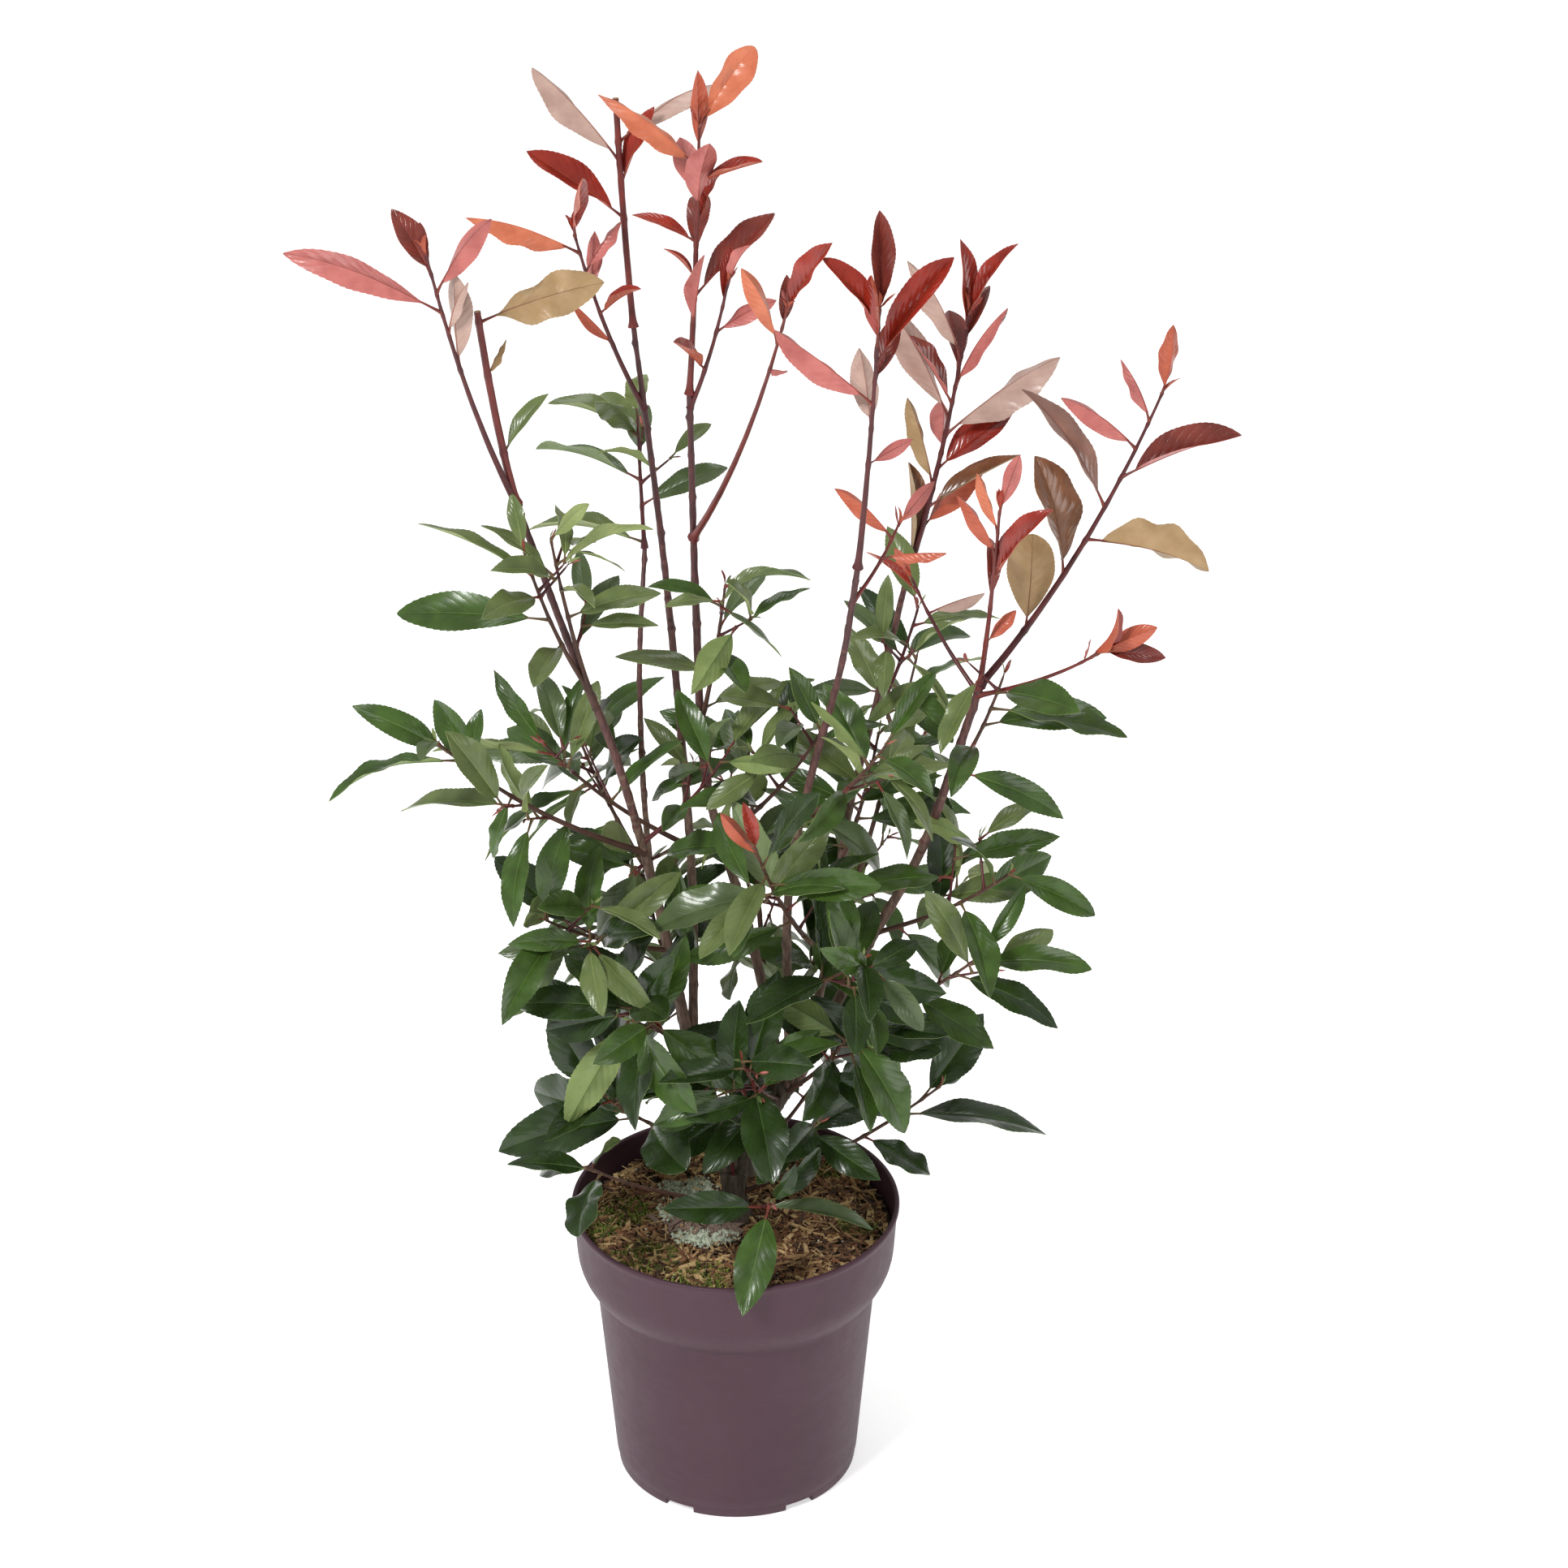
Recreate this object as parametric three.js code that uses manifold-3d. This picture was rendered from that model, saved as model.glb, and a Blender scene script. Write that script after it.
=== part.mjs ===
// A young photinia shrub with red spring growth, standing in its round nursery pot.
// Millimetres, +Z up. The origin is the middle of the pot's flat underside.
// Compass headings are in degrees: 0 points right (+X), 90 to the back (+Y), 180 left, 270 to the front.
import * as THREE from "three";
import { mergeVertices } from "three/addons/utils/BufferGeometryUtils.js";
import Module from "manifold-3d";

const wasm = await Module();
wasm.setup();

// ---- Driving dimensions ----

const GAP = 0.3; // clear space between neighbouring pieces
const WELD = 1e-5; // corners nearer than this are one corner
const SHORT_EDGE = 0.03; // edges shorter than this are closed up after joining

const POT_HEIGHT = 209;
const RIM_RADIUS = 113.6;
const BASE_RADIUS = 84;
const FOOT_ROUND = [1, 3]; // how far the foot's round edge steps out, and up
const POT_WALL = 2.5;
const POT_FLOOR = 3;
const RIM_LIP = 1.6; // the rolled rim stands this far out of the wall
const RIM_ROLL = [5, 3.5, 1]; // depths of the rim's lower edge, of its fullest part and of its brow
const COLLAR_FOOT = 172; // height where the collar's round lower part ends
const COLLAR_RADIUS = 110; // outer radius there
const COLLAR_ROUND = [4, 13]; // the round part's middle lies this far in, and down
const SHOULDER_FOOT = 148; // height of the crease where the plain tapered body ends
const SHOULDER_RADIUS = 97.6;
const SHOULDER_STEP = [3, 3]; // the collar starts this far out from the crease, and above it
const POT_SIDES = 32;

const NOTCH_COUNT = 6; // drain notches round the foot
const NOTCH_SIZE = [22, 26, 5]; // along the rim, through it, and up
const NOTCH_FIRST = 302; // compass heading of the first notch

const SOIL_TOP = 192;
const SOIL_EDGE = 188; // the soil falls a little towards the wall
const SOIL_CROWN = [34, 70]; // radii of the soil's flat middle and of its brow

const LIMB_SIDES = 6;
const LIMB_STEPS = 7;
const TWIG_SIDES = 3;
const STEM_STEPS = 5;
const TWIG_STEPS = 1;
const TWIG_TIP_RADIUS = 0.8;
const TWIG_ROOT_RADIUS = 1.1; // a shoot's root, before what its length adds
const TWIG_GAIN = 0.006; // root radius gained with each millimetre of length

const LEAF_KEEL = 1.3; // depth of the midrib under the blade
const LEAF_SINK = 0.5; // a leaf's root lies this far past its twig's middle line
const LEAF_STATIONS = [0, 0.36, 0.72, 1]; // root, two cross sections and tip, as shares of the length
const BLADE_STATIONS = [0.22, 0.46, 0.74, 1]; // the same leaf without its stalk
const SKY_LIGHT = new THREE.Vector3(0, -0.8, 0.8); // leaves turn to the sky and to the sunny front
const OUTWARD_LIGHT = 0.4; // and away from the middle of the crown
const LAST_LEAF = 0.985; // place of the top leaf along its shoot
const CROWDING = 0.7; // below 1, the leaves crowd towards the tip
const LEAN_SPREAD = 16; // a leaf's angle to its shoot varies over this many degrees
const LEAF_SIZES = [0.86, 1.1]; // smallest and largest leaf beside its neighbours

const TWIG_LEAVES = 3;
const TWIG_SPAN = [0.5, 0.8]; // side twigs spring from this part of the shoot
const TWIG_REACH = [34, 52];
const TWIG_FIRST = 40; // compass heading of the first side twig
const TWIG_OFFSET = 67; // turn from one shoot's twigs to the next shoot's
const TWIG_STRIDE = 160; // turn from one side twig to the next
const TWIG_SPLAY = [0.75, 0.9]; // how far a side twig points out of its shoot and along it
const TWIG_LEAF_SIZE = 0.9; // beside the leaves of its shoot
const TWIG_LEAF_TURN = 60; // from the twig's own heading to its first leaf's
const TWIG_BARE = 0.5;
const STEM_BEND = new THREE.Vector3(0.6, 0.6, 0.42); // where a stem's bend lies between root and tip
const SPIRAL = 137.5; // turn from one leaf to the next
const TURNS = [0, 30, -30, 60, -60]; // headings tried before a leaf is skipped

// How the leaves of each kind stand on their shoot. Angles are from the shoot's own direction.
const KINDS = {
  flush: { color: 0xa8452f, width: 0.36, low: 62, top: 20, arch: 0.1, light: 0.55, small: 0.7 },
  bronze: { color: 0x8a5a45, width: 0.38, low: 66, top: 34, arch: 0.16, light: 0.5, small: 0.8 },
  green: { color: 0x2f4a26, width: 0.4, low: 84, top: 48, arch: 0.13, light: 0.62, small: 0.85 },
};

// Shoots that are the end of their limb, cut back by the grower: radius at the root and at the cut,
// and the last leaf's place.
const CUT_BACK = {
  left_top: { root: 2.6, tip: 2.2, last: 0.95 },
  back_left_flush: { root: 2.2, tip: 2, last: 0.83 },
};

const POT_COLOR = 0x64505a;
const POT_ROUGHNESS = 0.6;
const SOIL_COLOR = 0x4a3424;
const BARK_COLOR = 0x5a4238; // trunk and boles
const STEM_COLOR = 0x5b2a26;
const BARK_ROUGHNESS = 0.8;
const LEAF_ROUGHNESS = 0.45;

// ---- The woody frame: name, the points it passes through, root radius and tip radius ----

const LIMBS = [
  ["left_bole", [[-4, 5, 234], [-18, 1, 289], [-31, 0, 340]], 8.5, 7],
  ["right_bole", [[6, 5, 230], [20, 2, 266], [37, 1, 304]], 8, 7],
  ["left_stem",
    [[-31, 0, 338], [-50, -8, 444], [-75, -20, 557], [-104, -28, 645], [-133, -38, 743]], 3.6, 2.0],
  ["back_left_stem",
    [[-28, 2, 338], [-28, 20, 449], [-37, 45, 575], [-48, 65, 690], [-63, 80, 817]], 3.3, 1.7],
  ["centre_stem",
    [[33, 2, 302], [10, 8, 417], [-17, 14, 521], [-23, 20, 631], [-26, 20, 794]], 3.6, 2.0],
  ["front_right_stem",
    [[38, -3, 302], [36, -30, 454], [48, -46, 544], [69, -68, 643], [79, -85, 720]], 3.4, 1.9],
  ["right_stem",
    [[42, 3, 304], [64, 18, 394], [76, 38, 484], [95, 62, 558], [114, 82, 637]], 3.4, 2.0],
  ["far_right_stem",
    [[42, -2, 304], [84, -20, 409], [122, -35, 496], [147, -45, 582], [158, -50, 624]], 3.9, 2.6],
  ["thin_back_stem", [[-34, 6, 336], [-56, 30, 454], [-63, 75, 564], [-60, 125, 644]], 2.3, 1.6],
];
const TRUNK = {
  points: [[-1, 4, SOIL_TOP + GAP], [-1, 4, 209], [-1, 5, 232]],
  root: 11.5,
  tip: 10,
  flare: 3.5,
};

// ---- The shoots, each a mass of foliage of its own ----
// Name, the limb it springs from and the height there, its tip, kind, leaf length, how much of it is
// bare, side twigs, and its leaves from low to high. A leaf is a heading, or a heading, a length
// factor and an angle to the shoot where it stands out from the rule.

const SHOOTS = [
  ["left_top", "left_stem", 743, [-153, -40, 870], "bronze", 72, 0.3, 0,
    [[20, 0.6, 40], [20, 0.35, 30], [5, 1.1, 72]]],
  ["left_flush", "left_stem", 741, [-180, -70, 917], "flush", 72, 0.6, 0,
    [[20, 0.85, 10], [340, 0.55, 24], [180, 1.37, 46], [20, 0.75, 42], [150, 0.62, 16], [90, 0.3, 8]]],
  ["back_left_flush", "back_left_stem", 817, [-72, 90, 965], "flush", 66, 0.52, 0,
    [[180, 1.12, 47], [10, 0.8, 23], [175, 1.2, 33], [5, 1.45, 62]]],
  ["back_left_side", "back_left_stem", 761, [-99, 68, 884], "flush", 55, 0.4, 0,
    [[200, 0.75, 14], [330, 0.7, 60], [60, 0.7, 30], [10, 0.7, 46], [190, 1.35, 45], [300, 0.95, 26]]],
  ["centre_flush", "centre_stem", 794, [-18, 20, 970], "flush", 62, 0.28, 0,
    [[275, 0.95, 16], [5, 1.2, 48], [190, 0.42, 38], [90, 0.9, 50], [180, 0.68, 60], [60, 0.6, 30],
      [275, 0.9, 18], [110, 0.8, 50], [335, 0.75, 60], [170, 1.2, 48], [110, 0.8, 7], [60, 0.7, 9],
      [15, 0.95, 28]]],
  ["centre_side", "centre_stem", 784, [-1, 10, 872], "flush", 42, 0.35, 0,
    [[190, 1, 50], [20, 1, 45], [100, 0.9, 22], [300, 0.8, 12]]],
  ["slender_flush", "centre_stem", 694, [36, -90, 891], "flush", 52, 0.78, 0,
    [[290, 0.5, 40], [165, 1, 26], [110, 0.6, 15], [10, 1.05, 12]]],
  ["front_right_flush", "front_right_stem", 720, [90, -110, 898], "flush", 62, 0.45, 0,
    [[20, 0.5, 60], [100, 0.9, 50], [175, 1.2, 50], [60, 0.7, 30], [15, 1.25, 28], [270, 0.85, 6],
      [170, 0.85, 34], [100, 0.95, 8]]],
  ["front_right_twig", "front_right_stem", 694, [104, -70, 742], "flush", 52, 0.6, 0,
    [[330, 0.8, 50], [190, 0.9, 60], [40, 0.7, 20]]],
  ["right_flush", "right_stem", 637, [154, 110, 818], "flush", 64, 0.08, 0,
    [[160, 1.05, 14], [25, 1, 26], [350, 1.1, 40], [165, 0.95, 24], [10, 0.95, 36], [90, 1, 60],
      [355, 1.4, 36], [165, 1.25, 34], [190, 0.85, 38], [320, 1, 14], [100, 0.9, 50],
      [165, 1.1, 30], [60, 0.7, 30], [150, 0.9, 10], [20, 0.85, 20]]],
  ["far_right_upright", "far_right_stem", 622, [165, -92, 762], "flush", 48, 0.3, 0,
    [[20, 0.6, 34], [90, 0.9, 45], [350, 1.3, 20], [170, 0.95, 22], [150, 0.85, 18], [30, 0.8, 14]]],
  ["far_right_flush", "far_right_stem", 624, [267, -40, 820], "bronze", 70, 0.22, 0,
    [[170, 0.85, 28], [180, 1.1, 34], [0, 1.15, 66], [175, 1.25, 50], [350, 1.1, 34], [180, 0.78, 66],
      [180, 0.6, 38], [150, 0.6, 6]]],
  ["far_right_low", "far_right_stem", 616, [231, -90, 666], "flush", 42, 0.82, 0,
    [[180, 0.5, 30], [180, 1, 14], [90, 1, 5], [0, 0.95, 40]]],
  ["right_inner", "far_right_stem", 618, [115, -5, 679], "flush", 42, 0.7, 0,
    [[0, 0.9, 92], [180, 1, 20], [100, 0.7, 30]]],

  ["left_bough", "left_stem", 484, [-184, -100, 609], "green", 82, 0.6, 0,
    [[215, 0.5, 100], [100, 0.8, 60], [40, 0.45, 50], [200, 1, 34], [170, 0.75, 12], [290, 0.5, 40]]],
  ["left_inner_bough", "back_left_stem", 470, [-123, -5, 561], "green", 70, 0.5, 1,
    [[300, 0.9, 80], [200, 1.1, 60], [120, 0.9, 50], [30, 0.8, 50], [190, 1.1, 34], [100, 0.8, 20]]],
  ["back_left_bough", "thin_back_stem", 444, [-108, 95, 524], "green", 70, 0.4, 1, spiral(160, 6)],
  ["left_outer_leaves", "left_stem", 610, [-128, -60, 721], "green", 72, 0.08, 0,
    [[190, 1.2, 50], [260, 0.8, 60], [175, 1.3, 68], [250, 0.9, 50], [180, 1.05, 36], [90, 0.5, 30]]],
  ["left_inner_leaves", "left_stem", 594, [-112, -46, 724], "green", 60, 0.14, 0,
    [[350, 0.9, 74], [60, 1, 70], [10, 0.95, 80], [300, 0.8, 60], [15, 1, 66], [340, 0.6, 40]]],
  ["left_cross", "left_stem", 492, [-2, -12, 560], "green", 58, 0.45, 0, spiral(250, 5)],
  ["right_cross", "centre_stem", 482, [58, -32, 584], "green", 62, 0.35, 0, spiral(200, 6)],
  ["red_heart", "right_stem", 389, [15, -105, 537], "green", 72, 0.3, 0,
    [[310, 1, 78], [200, 1, 72], [20, 1, 60], [110, 1, 62], [185, 1.1, 78], [340, 1, 72], [250, 0.9, 64],
      [20, 1, 34], [150, 0.55, 16], [60, 0.5, 10]]],
  ["front_left_leaves", "left_bole", 330, [-66, -74, 408], "green", 80, 0.15, 1, spiral(205, 7)],
  ["front_centre_leaves", "right_bole", 288, [6, -96, 376], "green", 76, 0.2, 1,
    [[230, 0.9, 52], 7.5, 145, 282.5, 60, 197.5, 335]],
  ["front_right_leaves", "front_right_stem", 388, [84, -104, 456], "green", 72, 0.15, 1, spiral(300, 6)],
  ["centre_right_leaves", "front_right_stem", 524, [98, -90, 602], "green", 68, 0.1, 0, spiral(330, 7)],
  ["centre_left_leaves", "back_left_stem", 474, [-64, -14, 474], "green", 72, 0.25, 0, spiral(215, 5)],
  ["right_low_leaves", "far_right_stem", 430, [180, -62, 496], "green", 74, 0.15, 1, spiral(0, 6)],
  ["right_high_leaves", "far_right_stem", 544, [172, -64, 638], "green", 76, 0.2, 0,
    [[0, 1, 84], [250, 0.9, 70], [10, 1, 62], [350, 1.1, 70], [355, 1.1, 52], [160, 0.9, 10]]],
  ["right_inner_leaves", "right_stem", 454, [96, 16, 560], "green", 68, 0.15, 0, spiral(190, 7)],
  ["right_stem_leaves", "right_stem", 544, [122, 56, 632], "green", 66, 0.1, 0, spiral(170, 6)],
  ["centre_high_leaves", "centre_stem", 564, [-4, 0, 672], "green", 62, 0.15, 0, spiral(10, 6)],
  ["left_low_leaves", "left_stem", 406, [-122, -52, 456], "green", 78, 0.3, 1, spiral(190, 5)],

  ["right_skirt", "far_right_stem", 349, [163, -70, 441], "green", 72, 0.5, 0,
    [[200, 0.7, 60], [100, 0.7, 60], [350, 1, 60], [0, 1.05, 34], [120, 0.7, 30]]],
  ["low_right_skirt", "trunk", 209, [141, 0, 300], "green", 70, 0.58, 0,
    [[325, 0.72, 52], [0, 1.36, 34], [110, 1, 25], [40, 0.65, 67]]],
  ["right_rosette", "right_bole", 292, [82, -66, 388], "green", 66, 0.45, 0,
    [340, 117.5, 255, 32.5, 170, [320, 1.32, 100], [75, 1.05, 88], [340, 0.9, 55]]],
  ["left_skirt", "left_bole", 250, [-84, -46, 316], "green", 72, 0.6, 0,
    [[295, 0.8, 70], [180, 1.27, 49], [150, 1.1, 70], [85, 1.15, 16], [45, 1.1, 46], [0, 0.7, 94],
      [235, 0.8, 43]]],
  ["low_left_skirt", "trunk", 204, [-99, -66, 276], "green", 56, 0.88, 0,
    [[260, 0.95, 52], [165, 1, 25], [80, 0.7, 121], [120, 0.9, 88]]],
  ["thin_front_shoot", "trunk", 216, [-4, -26, 304], "green", 62, 0.8, 0, spiral(60, 6)],
  ["front_rosette", "right_bole", 250, [56, -50, 300], "green", 66, 0.35, 0,
    [130, [235, 0.8, 58], 45, 182.5, 320, 97.5, 235]],
  ["soil_rosette", "trunk", 204, [26, -76, 254], "green", 68, 0.5, 0,
    [[10, 1.1, 61], [190, 1, 73], [50, 0.75, 70], [260, 1, 77], [70, 0.5, 26]]],

  ["thin_back_top", "thin_back_stem", 644, [-64, 142, 734], "green", 66, 0.05, 0,
    [[180, 1.1, 66], [350, 0.9, 60], [170, 1.05, 60], [90, 0.9, 50], [185, 0.9, 52], [270, 0.7, 30]]],
  ["back_right_shoot", "right_bole", 296, [126, 160, 552], "green", 72, 0.4, 2, spiral(70, 7)],
  ["back_shoot", "right_bole", 284, [8, 146, 504], "green", 76, 0.35, 2, spiral(80, 8)],
  ["back_left_leaves", "left_bole", 322, [-64, 104, 408], "green", 80, 0.25, 1, spiral(120, 7)],
  ["back_right_leaves", "right_bole", 274, [66, 108, 396], "green", 80, 0.25, 1, spiral(60, 7)],
  ["back_left_skirt", "trunk", 220, [-72, 78, 296], "green", 72, 0.4, 0, spiral(130, 7)],
  ["back_right_skirt", "trunk", 220, [78, 80, 294], "green", 72, 0.4, 0, spiral(40, 7)],
];

// ---- Solids ----

// A closed three.js geometry as a solid that can be joined and cut.
function solidOf(geometry) {
  const bare = geometry.clone();
  bare.deleteAttribute("normal");
  bare.deleteAttribute("uv");
  const welded = mergeVertices(bare, WELD);
  return new wasm.Manifold(
    new wasm.Mesh({
      numProp: 3,
      vertProperties: welded.attributes.position.array,
      triVerts: new Uint32Array(welded.index.array),
    }),
  );
}

// A solid as a named mesh of the part.
function meshOf(name, solid, color, roughness) {
  const { numProp, vertProperties, triVerts } = solid.getMesh();
  const count = vertProperties.length / numProp;
  const corners = new Float32Array(count * 3);
  for (let i = 0; i < count; i += 1) {
    corners.set(vertProperties.subarray(i * numProp, i * numProp + 3), i * 3);
  }
  const geometry = new THREE.BufferGeometry();
  geometry.setAttribute("position", new THREE.BufferAttribute(corners, 3));
  geometry.setIndex(new THREE.BufferAttribute(triVerts, 1));
  geometry.computeVertexNormals();
  const material = new THREE.MeshStandardMaterial({ color, roughness, flatShading: true });
  const mesh = new THREE.Mesh(geometry, material);
  mesh.name = name;
  return mesh;
}

function turned(profile) {
  const points = profile.map(([radius, height]) => new THREE.Vector2(radius, height));
  return new THREE.LatheGeometry(points, POT_SIDES).rotateX(Math.PI / 2);
}

function boxOf(solid) {
  const { min, max } = solid.boundingBox();
  return new THREE.Box3(new THREE.Vector3(...min), new THREE.Vector3(...max));
}

// The largest body of a solid: loose scraps are dropped and sealed hollows are filled.
function wholeOf(solid) {
  const bodies = solid.decompose();
  const largest = bodies.reduce((best, body) => (body.volume() > best.volume() ? body : best));
  return largest.simplify(SHORT_EDGE);
}

function heading(degrees) {
  const angle = THREE.MathUtils.degToRad(degrees);
  return new THREE.Vector3(Math.cos(angle), Math.sin(angle), 0);
}

// ---- Pot and soil ----

const OUTER_WALL = [
  [BASE_RADIUS, 0],
  [BASE_RADIUS + FOOT_ROUND[0], FOOT_ROUND[1]],
  [SHOULDER_RADIUS, SHOULDER_FOOT],
  [SHOULDER_RADIUS + SHOULDER_STEP[0], SHOULDER_FOOT + SHOULDER_STEP[1]],
  [COLLAR_RADIUS - COLLAR_ROUND[0], COLLAR_FOOT - COLLAR_ROUND[1]],
  [COLLAR_RADIUS, COLLAR_FOOT],
  [RIM_RADIUS - RIM_LIP, POT_HEIGHT - RIM_ROLL[0]],
];

function makePot() {
  const inside = OUTER_WALL.slice(1).map(([radius, height]) => [
    radius - POT_WALL,
    Math.max(height, POT_FLOOR),
  ]);
  const profile = [
    [0, 0],
    ...OUTER_WALL,
    [RIM_RADIUS, POT_HEIGHT - RIM_ROLL[1]],
    [RIM_RADIUS, POT_HEIGHT - RIM_ROLL[2]],
    [RIM_RADIUS - RIM_ROLL[2], POT_HEIGHT],
    [RIM_RADIUS - POT_WALL - RIM_LIP, POT_HEIGHT],
    ...inside.reverse(),
    [0, POT_FLOOR],
  ];
  let pot = solidOf(turned(profile));
  for (let i = 0; i < NOTCH_COUNT; i += 1) {
    const notch = new THREE.BoxGeometry(NOTCH_SIZE[1], NOTCH_SIZE[0], NOTCH_SIZE[2] * 2);
    notch.translate(BASE_RADIUS, 0, 0);
    notch.rotateZ(THREE.MathUtils.degToRad(NOTCH_FIRST + (i * 360) / NOTCH_COUNT));
    pot = pot.subtract(solidOf(notch));
  }
  return pot;
}

function makeSoil() {
  const inset = POT_WALL + GAP;
  const wall = OUTER_WALL.slice(2, 6).map(([radius, height]) => [radius - inset, height]);
  const last = OUTER_WALL[OUTER_WALL.length - 1];
  const share = (SOIL_EDGE - COLLAR_FOOT) / (last[1] - COLLAR_FOOT);
  return solidOf(
    turned([
      [0, POT_FLOOR + GAP],
      [BASE_RADIUS - inset, POT_FLOOR + GAP],
      ...wall,
      [THREE.MathUtils.lerp(COLLAR_RADIUS, last[0], share) - inset, SOIL_EDGE],
      [SOIL_CROWN[1], SOIL_TOP - 1],
      [SOIL_CROWN[0], SOIL_TOP],
      [0, SOIL_TOP],
    ]),
  );
}

// ---- Wood ----

function curveThrough(points) {
  return new THREE.CatmullRomCurve3(points.map((p) => new THREE.Vector3(...p)), false, "catmullrom", 0.5);
}

// A tapered limb: a closed cylinder bent along the curve. extra thickens and lengthens it.
function limbSolid(curve, root, tip, sides, steps, flare = 0, extra = 0) {
  const shape = new THREE.CylinderGeometry(1, 1, 1, sides, steps);
  const { tangents, normals, binormals } = curve.computeFrenetFrames(steps, false);
  const corners = shape.attributes.position;
  const corner = new THREE.Vector3();
  for (let i = 0; i < corners.count; i += 1) {
    corner.fromBufferAttribute(corners, i);
    const along = corner.y + 0.5;
    const k = Math.round(along * steps);
    const end = k === 0 ? -extra : k === steps ? extra : 0;
    const radius = THREE.MathUtils.lerp(root, tip, along) + flare * (1 - along) ** 3 + extra;
    const place = curve.getPointAt(along);
    place.addScaledVector(tangents[k], end);
    place.addScaledVector(normals[k], corner.x * radius);
    place.addScaledVector(binormals[k], -corner.z * radius);
    corners.setXYZ(i, place.x, place.y, place.z);
  }
  return solidOf(shape);
}

// Every limb, with the curve that shoots spring from.
const limbs = new Map();

function addLimb(name, curve, root, tip, flare = 0) {
  const solid = trimmed(limbSolid(curve, root, tip, LIMB_SIDES, LIMB_STEPS, flare));
  place(name, limbSolid(curve, root, tip, LIMB_SIDES, LIMB_STEPS, flare, GAP));
  limbs.set(name, { curve, solid });
}

// The point of a limb at a given height.
function pointAtHeight(curve, height) {
  const steps = 200;
  for (let i = 0; i <= steps; i += 1) {
    const point = curve.getPoint(i / steps);
    if (point.z >= height) return point;
  }
  return curve.getPoint(1);
}

// ---- Leaves ----

function seeded(seed) {
  let state = (seed * 7919 + 104729) % 4294967296;
  const next = () => {
    state = (state * 1664525 + 1013904223) % 4294967296;
    return state / 4294967296;
  };
  next();
  next();
  return next;
}

function spiral(first, count) {
  return Array.from({ length: count }, (_, i) => (first + i * SPIRAL) % 360);
}

function halfWidth(width, along) {
  return (width / 2) * Math.sin(Math.PI * along ** 0.8) ** 0.8;
}

// A leaf: a three-sided ball of three bands, drawn out to two margins and a keel under the midrib.
function leafSolid({ root, along, face, length, width, arch }, stations = LEAF_STATIONS, extra = 0) {
  const bands = stations.length - 1;
  const shape = new THREE.SphereGeometry(1, 3, bands);
  const side = new THREE.Vector3().crossVectors(face, along);
  const corners = shape.attributes.position;
  const corner = new THREE.Vector3();
  for (let i = 0; i < corners.count; i += 1) {
    corner.fromBufferAttribute(corners, i);
    const k = bands - Math.round((Math.acos(corner.y) / Math.PI) * bands);
    const u = stations[k];
    const reach = u * length + (k === bands ? extra : 0) - (u === 0 ? LEAF_SINK : 0);
    const place = root.clone().addScaledVector(along, reach).addScaledVector(face, -arch * length * u * u);
    const onRing = k > 0 && k < bands;
    if (onRing && corner.x < 0) {
      place.addScaledVector(face, -LEAF_KEEL - extra);
    } else if (onRing) {
      place.addScaledVector(side, Math.sign(corner.z) * (halfWidth(width, u) + extra));
      place.addScaledVector(face, extra);
    }
    corners.setXYZ(i, place.x, place.y, place.z);
  }
  return solidOf(shape);
}

// Where a leaf stands: share is its place among the leaves of its shoot, from 0 low to 1 at the tip.
function leafPose(curve, at, share, entry, kind, size, random) {
  const [compass, factor, angle] = Array.isArray(entry) ? entry : [entry];
  const lean = angle ?? THREE.MathUtils.lerp(kind.low, kind.top, share) + (random() - 0.5) * LEAN_SPREAD;
  const fading = THREE.MathUtils.lerp(1, kind.small, share);
  const scale = factor ?? fading * THREE.MathUtils.lerp(...LEAF_SIZES, random());
  const length = size * scale;
  return (turn) => {
    const tilt = new THREE.Quaternion().setFromUnitVectors(
      new THREE.Vector3(0, 0, 1),
      curve.getPoint(1).sub(curve.getPoint(0)).normalize(),
    );
    const axis = curve.getTangent(at);
    const out = heading(compass + turn).applyQuaternion(tilt);
    out.addScaledVector(axis, -out.dot(axis)).normalize();
    const radians = THREE.MathUtils.degToRad(lean);
    const along = axis.clone().multiplyScalar(Math.cos(radians)).addScaledVector(out, Math.sin(radians));
    const face = axis.clone().multiplyScalar(Math.sin(radians)).addScaledVector(out, -Math.cos(radians));
    const root = curve.getPoint(at);
    const light = new THREE.Vector3(root.x, root.y, 0).normalize().multiplyScalar(OUTWARD_LIGHT);
    face.lerp(light.add(SKY_LIGHT).normalize(), kind.light);
    face.addScaledVector(along, -face.dot(along)).normalize();
    return { root, along, face, length, width: length * kind.width, arch: kind.arch };
  };
}

// ---- Shoots ----

// Every piece made so far, with its owner, its box and the body that others keep clear of.
const placed = [];

function place(owner, clear) {
  placed.push({ owner, clear, box: boxOf(clear) });
}

function touches(solid, others) {
  const box = boxOf(solid);
  return others.some(
    ({ clear, box: near }) => near.intersectsBox(box) && solid.intersect(clear).volume() > 0,
  );
}

// Cuts a stem clear of all wood made before it.
function trimmed(solid) {
  const box = boxOf(solid);
  const near = placed.filter((piece) => piece.box.intersectsBox(box));
  return wholeOf(near.reduce((rest, piece) => rest.subtract(piece.clear), solid));
}

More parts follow.
